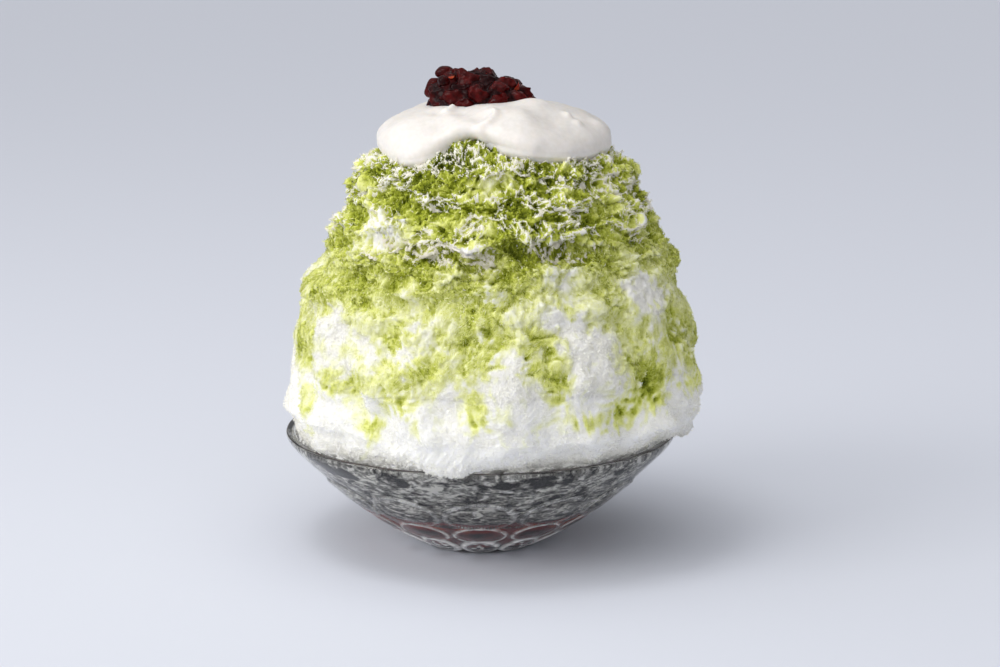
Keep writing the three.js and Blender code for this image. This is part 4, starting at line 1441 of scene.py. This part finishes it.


# %% [markdown]
# Each sunken bean is a stretched ball with a site and an axis. Every point of the heap, slumped a
# little by noise, finds how deep it lies in that ball. The depth gives the dome, and the bean that
# stands highest gives the point its colour number. The colour is also lighter up a dome, which is
# painted shade down between the domes.

# %% Heap mesh
rng = np.random.default_rng(21)
heap_angles = angles_round(HEAP_COLUMNS)
heap_lifts = np.radians(np.linspace(*HEAP_LIFTS, HEAP_ROWS))[:, None]
heap_rings = heap_point(heap_angles, heap_lifts)
outward = unit(heap_rings - (HEAP_CENTRE - (0, 0, HEAP_FOCUS)))
scatter = rng.normal(0, SUNKEN_SCATTER, (SUNKEN_BEANS, 3))
sites = heap_places(SUNKEN_BEANS) + scatter - (0, 0, SUNKEN_DEPTH)
axes = unit(rng.normal(size=(SUNKEN_BEANS, 3)) * (1, 1, 0.5))
rise = np.zeros(heap_rings.shape[:2])
nearest = np.zeros(heap_rings.shape[:2])
slumped = heap_rings + HEAP_SLUMP * noise_vector(heap_rings, 5.0, 45)
for number, (site, axis) in enumerate(zip(sites, axes)):
    offset = slumped - site
    lengthwise = offset @ axis
    sideways = np.sum(offset**2, axis=-1) - lengthwise**2
    spread = (lengthwise / BEAN_RADII[0]) ** 2 + sideways / BEAN_RADII[1] ** 2
    size = rng.uniform(0.75, 1.05)
    dome = SUNKEN_RISE * size * np.clip(1 - spread / size**2, 0, None) ** 0.6
    nearest = np.where(dome > rise, (number * GOLDEN_RATIO) % 1, nearest)
    rise = np.hypot(rise, dome) - 0.25 * np.minimum(rise, dome)
creased = 0.7 * ridge(slumped, (6.0, 6.0, 4.0), 40) ** 2 + 0.4 * noise(heap_rings, 2.0, 41)
paste_lumps = 2.0 * noise(heap_rings, 8.0, 42)
heap_rings = heap_rings + outward * (rise + paste_lumps + creased - PASTE_LEVEL)[..., None]
heap = ring_piece(
    "azuki_heap",
    heap_rings,
    HEAP_CENTRE - (0, 0, HEAP_ROOT),
    heap_rings[-1].mean(axis=0),
)
# each bean's own number, with painted shade: darker down in the paste between the domes
heap_tone_and_shade = 0.2 + 0.08 * np.clip(rise, 0, SUNKEN_RISE) + 0.3 * nearest
set_attribute(heap, "bean", np.concatenate([[POLE_TONE], heap_tone_and_shade.ravel(), [POLE_TONE]]))

# %% [markdown]
# A whole bean is a long rounded shape with a dent along one side. A skin is the same shape pressed
# flat and bent. Both come from one grid of points on a ball, scaled and turned for each bean at once.

# %% Ball for beans and skins
BEAN_COLUMNS = 28
BEAN_ROWS = 19
BEAN_ROWS_END = 82  # degrees from the middle, where the last row lies before the pole
BEAN_DENT = 0.16
BEAN_WRINKLE = 0.1  # as a share of the bean
BEAN_WRINKLE_MM = 2.6
ball_lifts = np.radians(np.linspace(-BEAN_ROWS_END, BEAN_ROWS_END, BEAN_ROWS))[:, None]
ball_angles = angles_round(BEAN_COLUMNS)
ball_rings = polar(np.cos(ball_lifts), ball_angles, np.sin(ball_lifts))
ball = np.concatenate([[[0, 0, -1]], ball_rings.reshape(-1, 3), [[0, 0, 1]]])
ball[:, 1] -= BEAN_DENT * bell(ball[:, 1] - 0.95, 0.35) * bell(ball[:, 0], 0.6)


def turns(count, rng):
    """Random rotations as matrices, from random unit quaternions that mostly turn about z."""
    w, x, y, z = (rng.normal(size=(count, 4)) * (1.6, 0.5, 0.5, 1.2)).T
    length = np.sqrt(w * w + x * x + y * y + z * z)
    w, x, y, z = w / length, x / length, y / length, z / length
    return np.stack([
        np.stack([1 - 2 * (y * y + z * z), 2 * (x * y - z * w), 2 * (x * z + y * w)], -1),
        np.stack([2 * (x * y + z * w), 1 - 2 * (x * x + z * z), 2 * (y * z - x * w)], -1),
        np.stack([2 * (x * z - y * w), 2 * (y * z + x * w), 1 - 2 * (x * x + y * y)], -1),
    ], axis=1)


def on_heap(places):
    """Places (x, y) lifted to the height of the nearest point of the heap's upper half."""
    upper = heap_rings[heap_rings[..., 2] > HEAP_CENTRE[2]]
    gaps = np.linalg.norm(upper[None, :, :2] - places[:, None], axis=-1)
    return np.column_stack([places, upper[gaps.argmin(axis=1), 2]])


def joined_balls(name, places, radii, bend, tones, rng):
    """Copies of the ball as one mesh: scaled, bent, turned, wrinkled and put in place."""
    count = len(places)
    points = ball[None] * radii[:, None, :]
    points[..., 2] -= bend * points[..., 0] ** 2
    points = np.einsum("bij,bpj->bpi", turns(count, rng), points)
    wrinkles = noise(points + 9 * places[:, None, :], BEAN_WRINKLE_MM, 44)
    points = points * (1 + BEAN_WRINKLE * wrinkles)[..., None] + places[:, None, :]
    quads, triangles = ring_faces(len(ball_lifts), BEAN_COLUMNS)
    step = (np.arange(count) * len(ball))[:, None, None]
    piece = new_piece(name, points.reshape(-1, 3), (quads + step).reshape(-1, 4),
                      (triangles + step).reshape(-1, 3))
    set_attribute(piece, "bean", np.repeat(tones, len(ball)))
    return piece


# %% [markdown]
# The whole beans take the places of a few sunken ones, so they are half buried. The skins lie loose
# on top.

# %% Whole beans and skins
WHOLE_BEANS = 5
WHOLE_BEANS_END = 8.0  # none lies further than this towards +X
WHOLE_DEPTH = 0.9
SKIN_PLACES = np.array([[-0.5, -4.0], [16.0, -4.0], [-12.0, -7.0]])  # x and y on the heap
SKIN_RADII = np.array([2.6, 1.7, 0.22])
SKIN_BEND = 0.18
SKIN_TONES = np.full(len(SKIN_PLACES), 1.45)
rng = np.random.default_rng(5)
whole = rng.choice(np.flatnonzero(sites[:, 0] < WHOLE_BEANS_END), WHOLE_BEANS, replace=False)
bean_places = sites[whole] + rng.uniform(-0.4, 0.4, (WHOLE_BEANS, 3)) - (0, 0, WHOLE_DEPTH)
bean_radii = BEAN_RADII * rng.uniform(0.7, 0.95, (WHOLE_BEANS, 1))
bean_tones = rng.uniform(0.25, 0.55, WHOLE_BEANS)
beans = joined_balls("whole_azuki_beans", bean_places, bean_radii, 0.0, bean_tones, rng)
skin_radii = SKIN_RADII * rng.uniform(0.8, 1.1, (len(SKIN_PLACES), 1))
skin_places = on_heap(SKIN_PLACES)
skins = joined_balls("loose_bean_skins", skin_places, skin_radii, SKIN_BEND, SKIN_TONES, rng)
for piece in (heap, beans, skins):
    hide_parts("azuki_topping")
    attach(piece, "root")

# %% [markdown]
# Azuki skins are dark red and thin, and syrup keeps them wet: smooth, with small faint highlights.
# Each bean carries a number of its own, which moves its colour from nearly black to brick red. On the
# heap that number also holds painted shade, and on the paste painted lens light and shade. The paste
# in the bowl is the same red without the wet shine, because glass covers it.

# %% Azuki material
BLOTCH_MM = 2.5
BEAN_SCATTER_MM = 1.2


def azuki_material(name, roughness, shine):
    """Blotched dark red skin and flesh. Shine is the strength of its highlights."""
    material, tree, output = new_material(name)
    place = add_node(tree, "ShaderNodeTexCoord").outputs["Object"]
    # the piece's number: each bean's own tone, with painted shade on the heap and painted light and
    # shade on the paste
    own = add_node(tree, "ShaderNodeAttribute", attribute_name="bean").outputs["Fac"]
    blotch = add_node(tree, "ShaderNodeTexNoise", {
        "Vector": place, "Scale": 1 / (BLOTCH_MM * MM), "Detail": 4.0,
    }).outputs["Fac"]
    faint = add_node(tree, "ShaderNodeMath", {0: blotch, 1: 0.4}, operation="MULTIPLY").outputs[0]
    tone = add_node(tree, "ShaderNodeMath", {0: own, 1: 0.4, 2: faint},
                    operation="MULTIPLY_ADD").outputs[0]
    colour = add_node(tree, "ShaderNodeValToRGB", {"Fac": tone}, stops=[
        (0.1, "#0a0001"), (0.3, "#200203"), (0.5, "#4e0807"), (0.75, "#84190e"), (0.95, "#b4552a"),
    ]).outputs["Color"]
    bump = add_node(tree, "ShaderNodeBump", {
        "Height": blotch, "Strength": 0.15, "Distance": 0.3 * MM,
    })
    shader = add_node(tree, "ShaderNodeBsdfPrincipled", {
        "Base Color": colour, "Roughness": roughness, "IOR": 1.38, "Specular IOR Level": shine,
        "Subsurface Weight": 0.25, "Subsurface Radius": (1.0, 0.12, 0.08),
        "Subsurface Scale": BEAN_SCATTER_MM * MM, "Normal": bump.outputs["Normal"],
    })
    tree.links.new(shader.outputs["BSDF"], output.inputs["Surface"])
    return material


candied = azuki_material("candied_azuki_beans", 0.1, 0.15)
for piece in (heap, beans, skins):
    piece.data.materials.append(candied)
# the paste's tone, with its painted lens light and shade
set_attribute(paste, "bean", paste_tone_and_painted_light)
paste.data.materials.append(azuki_material("azuki_bean_paste", 0.5, 0.05))
print("azuki colours on the heap, beans, skins and paste")
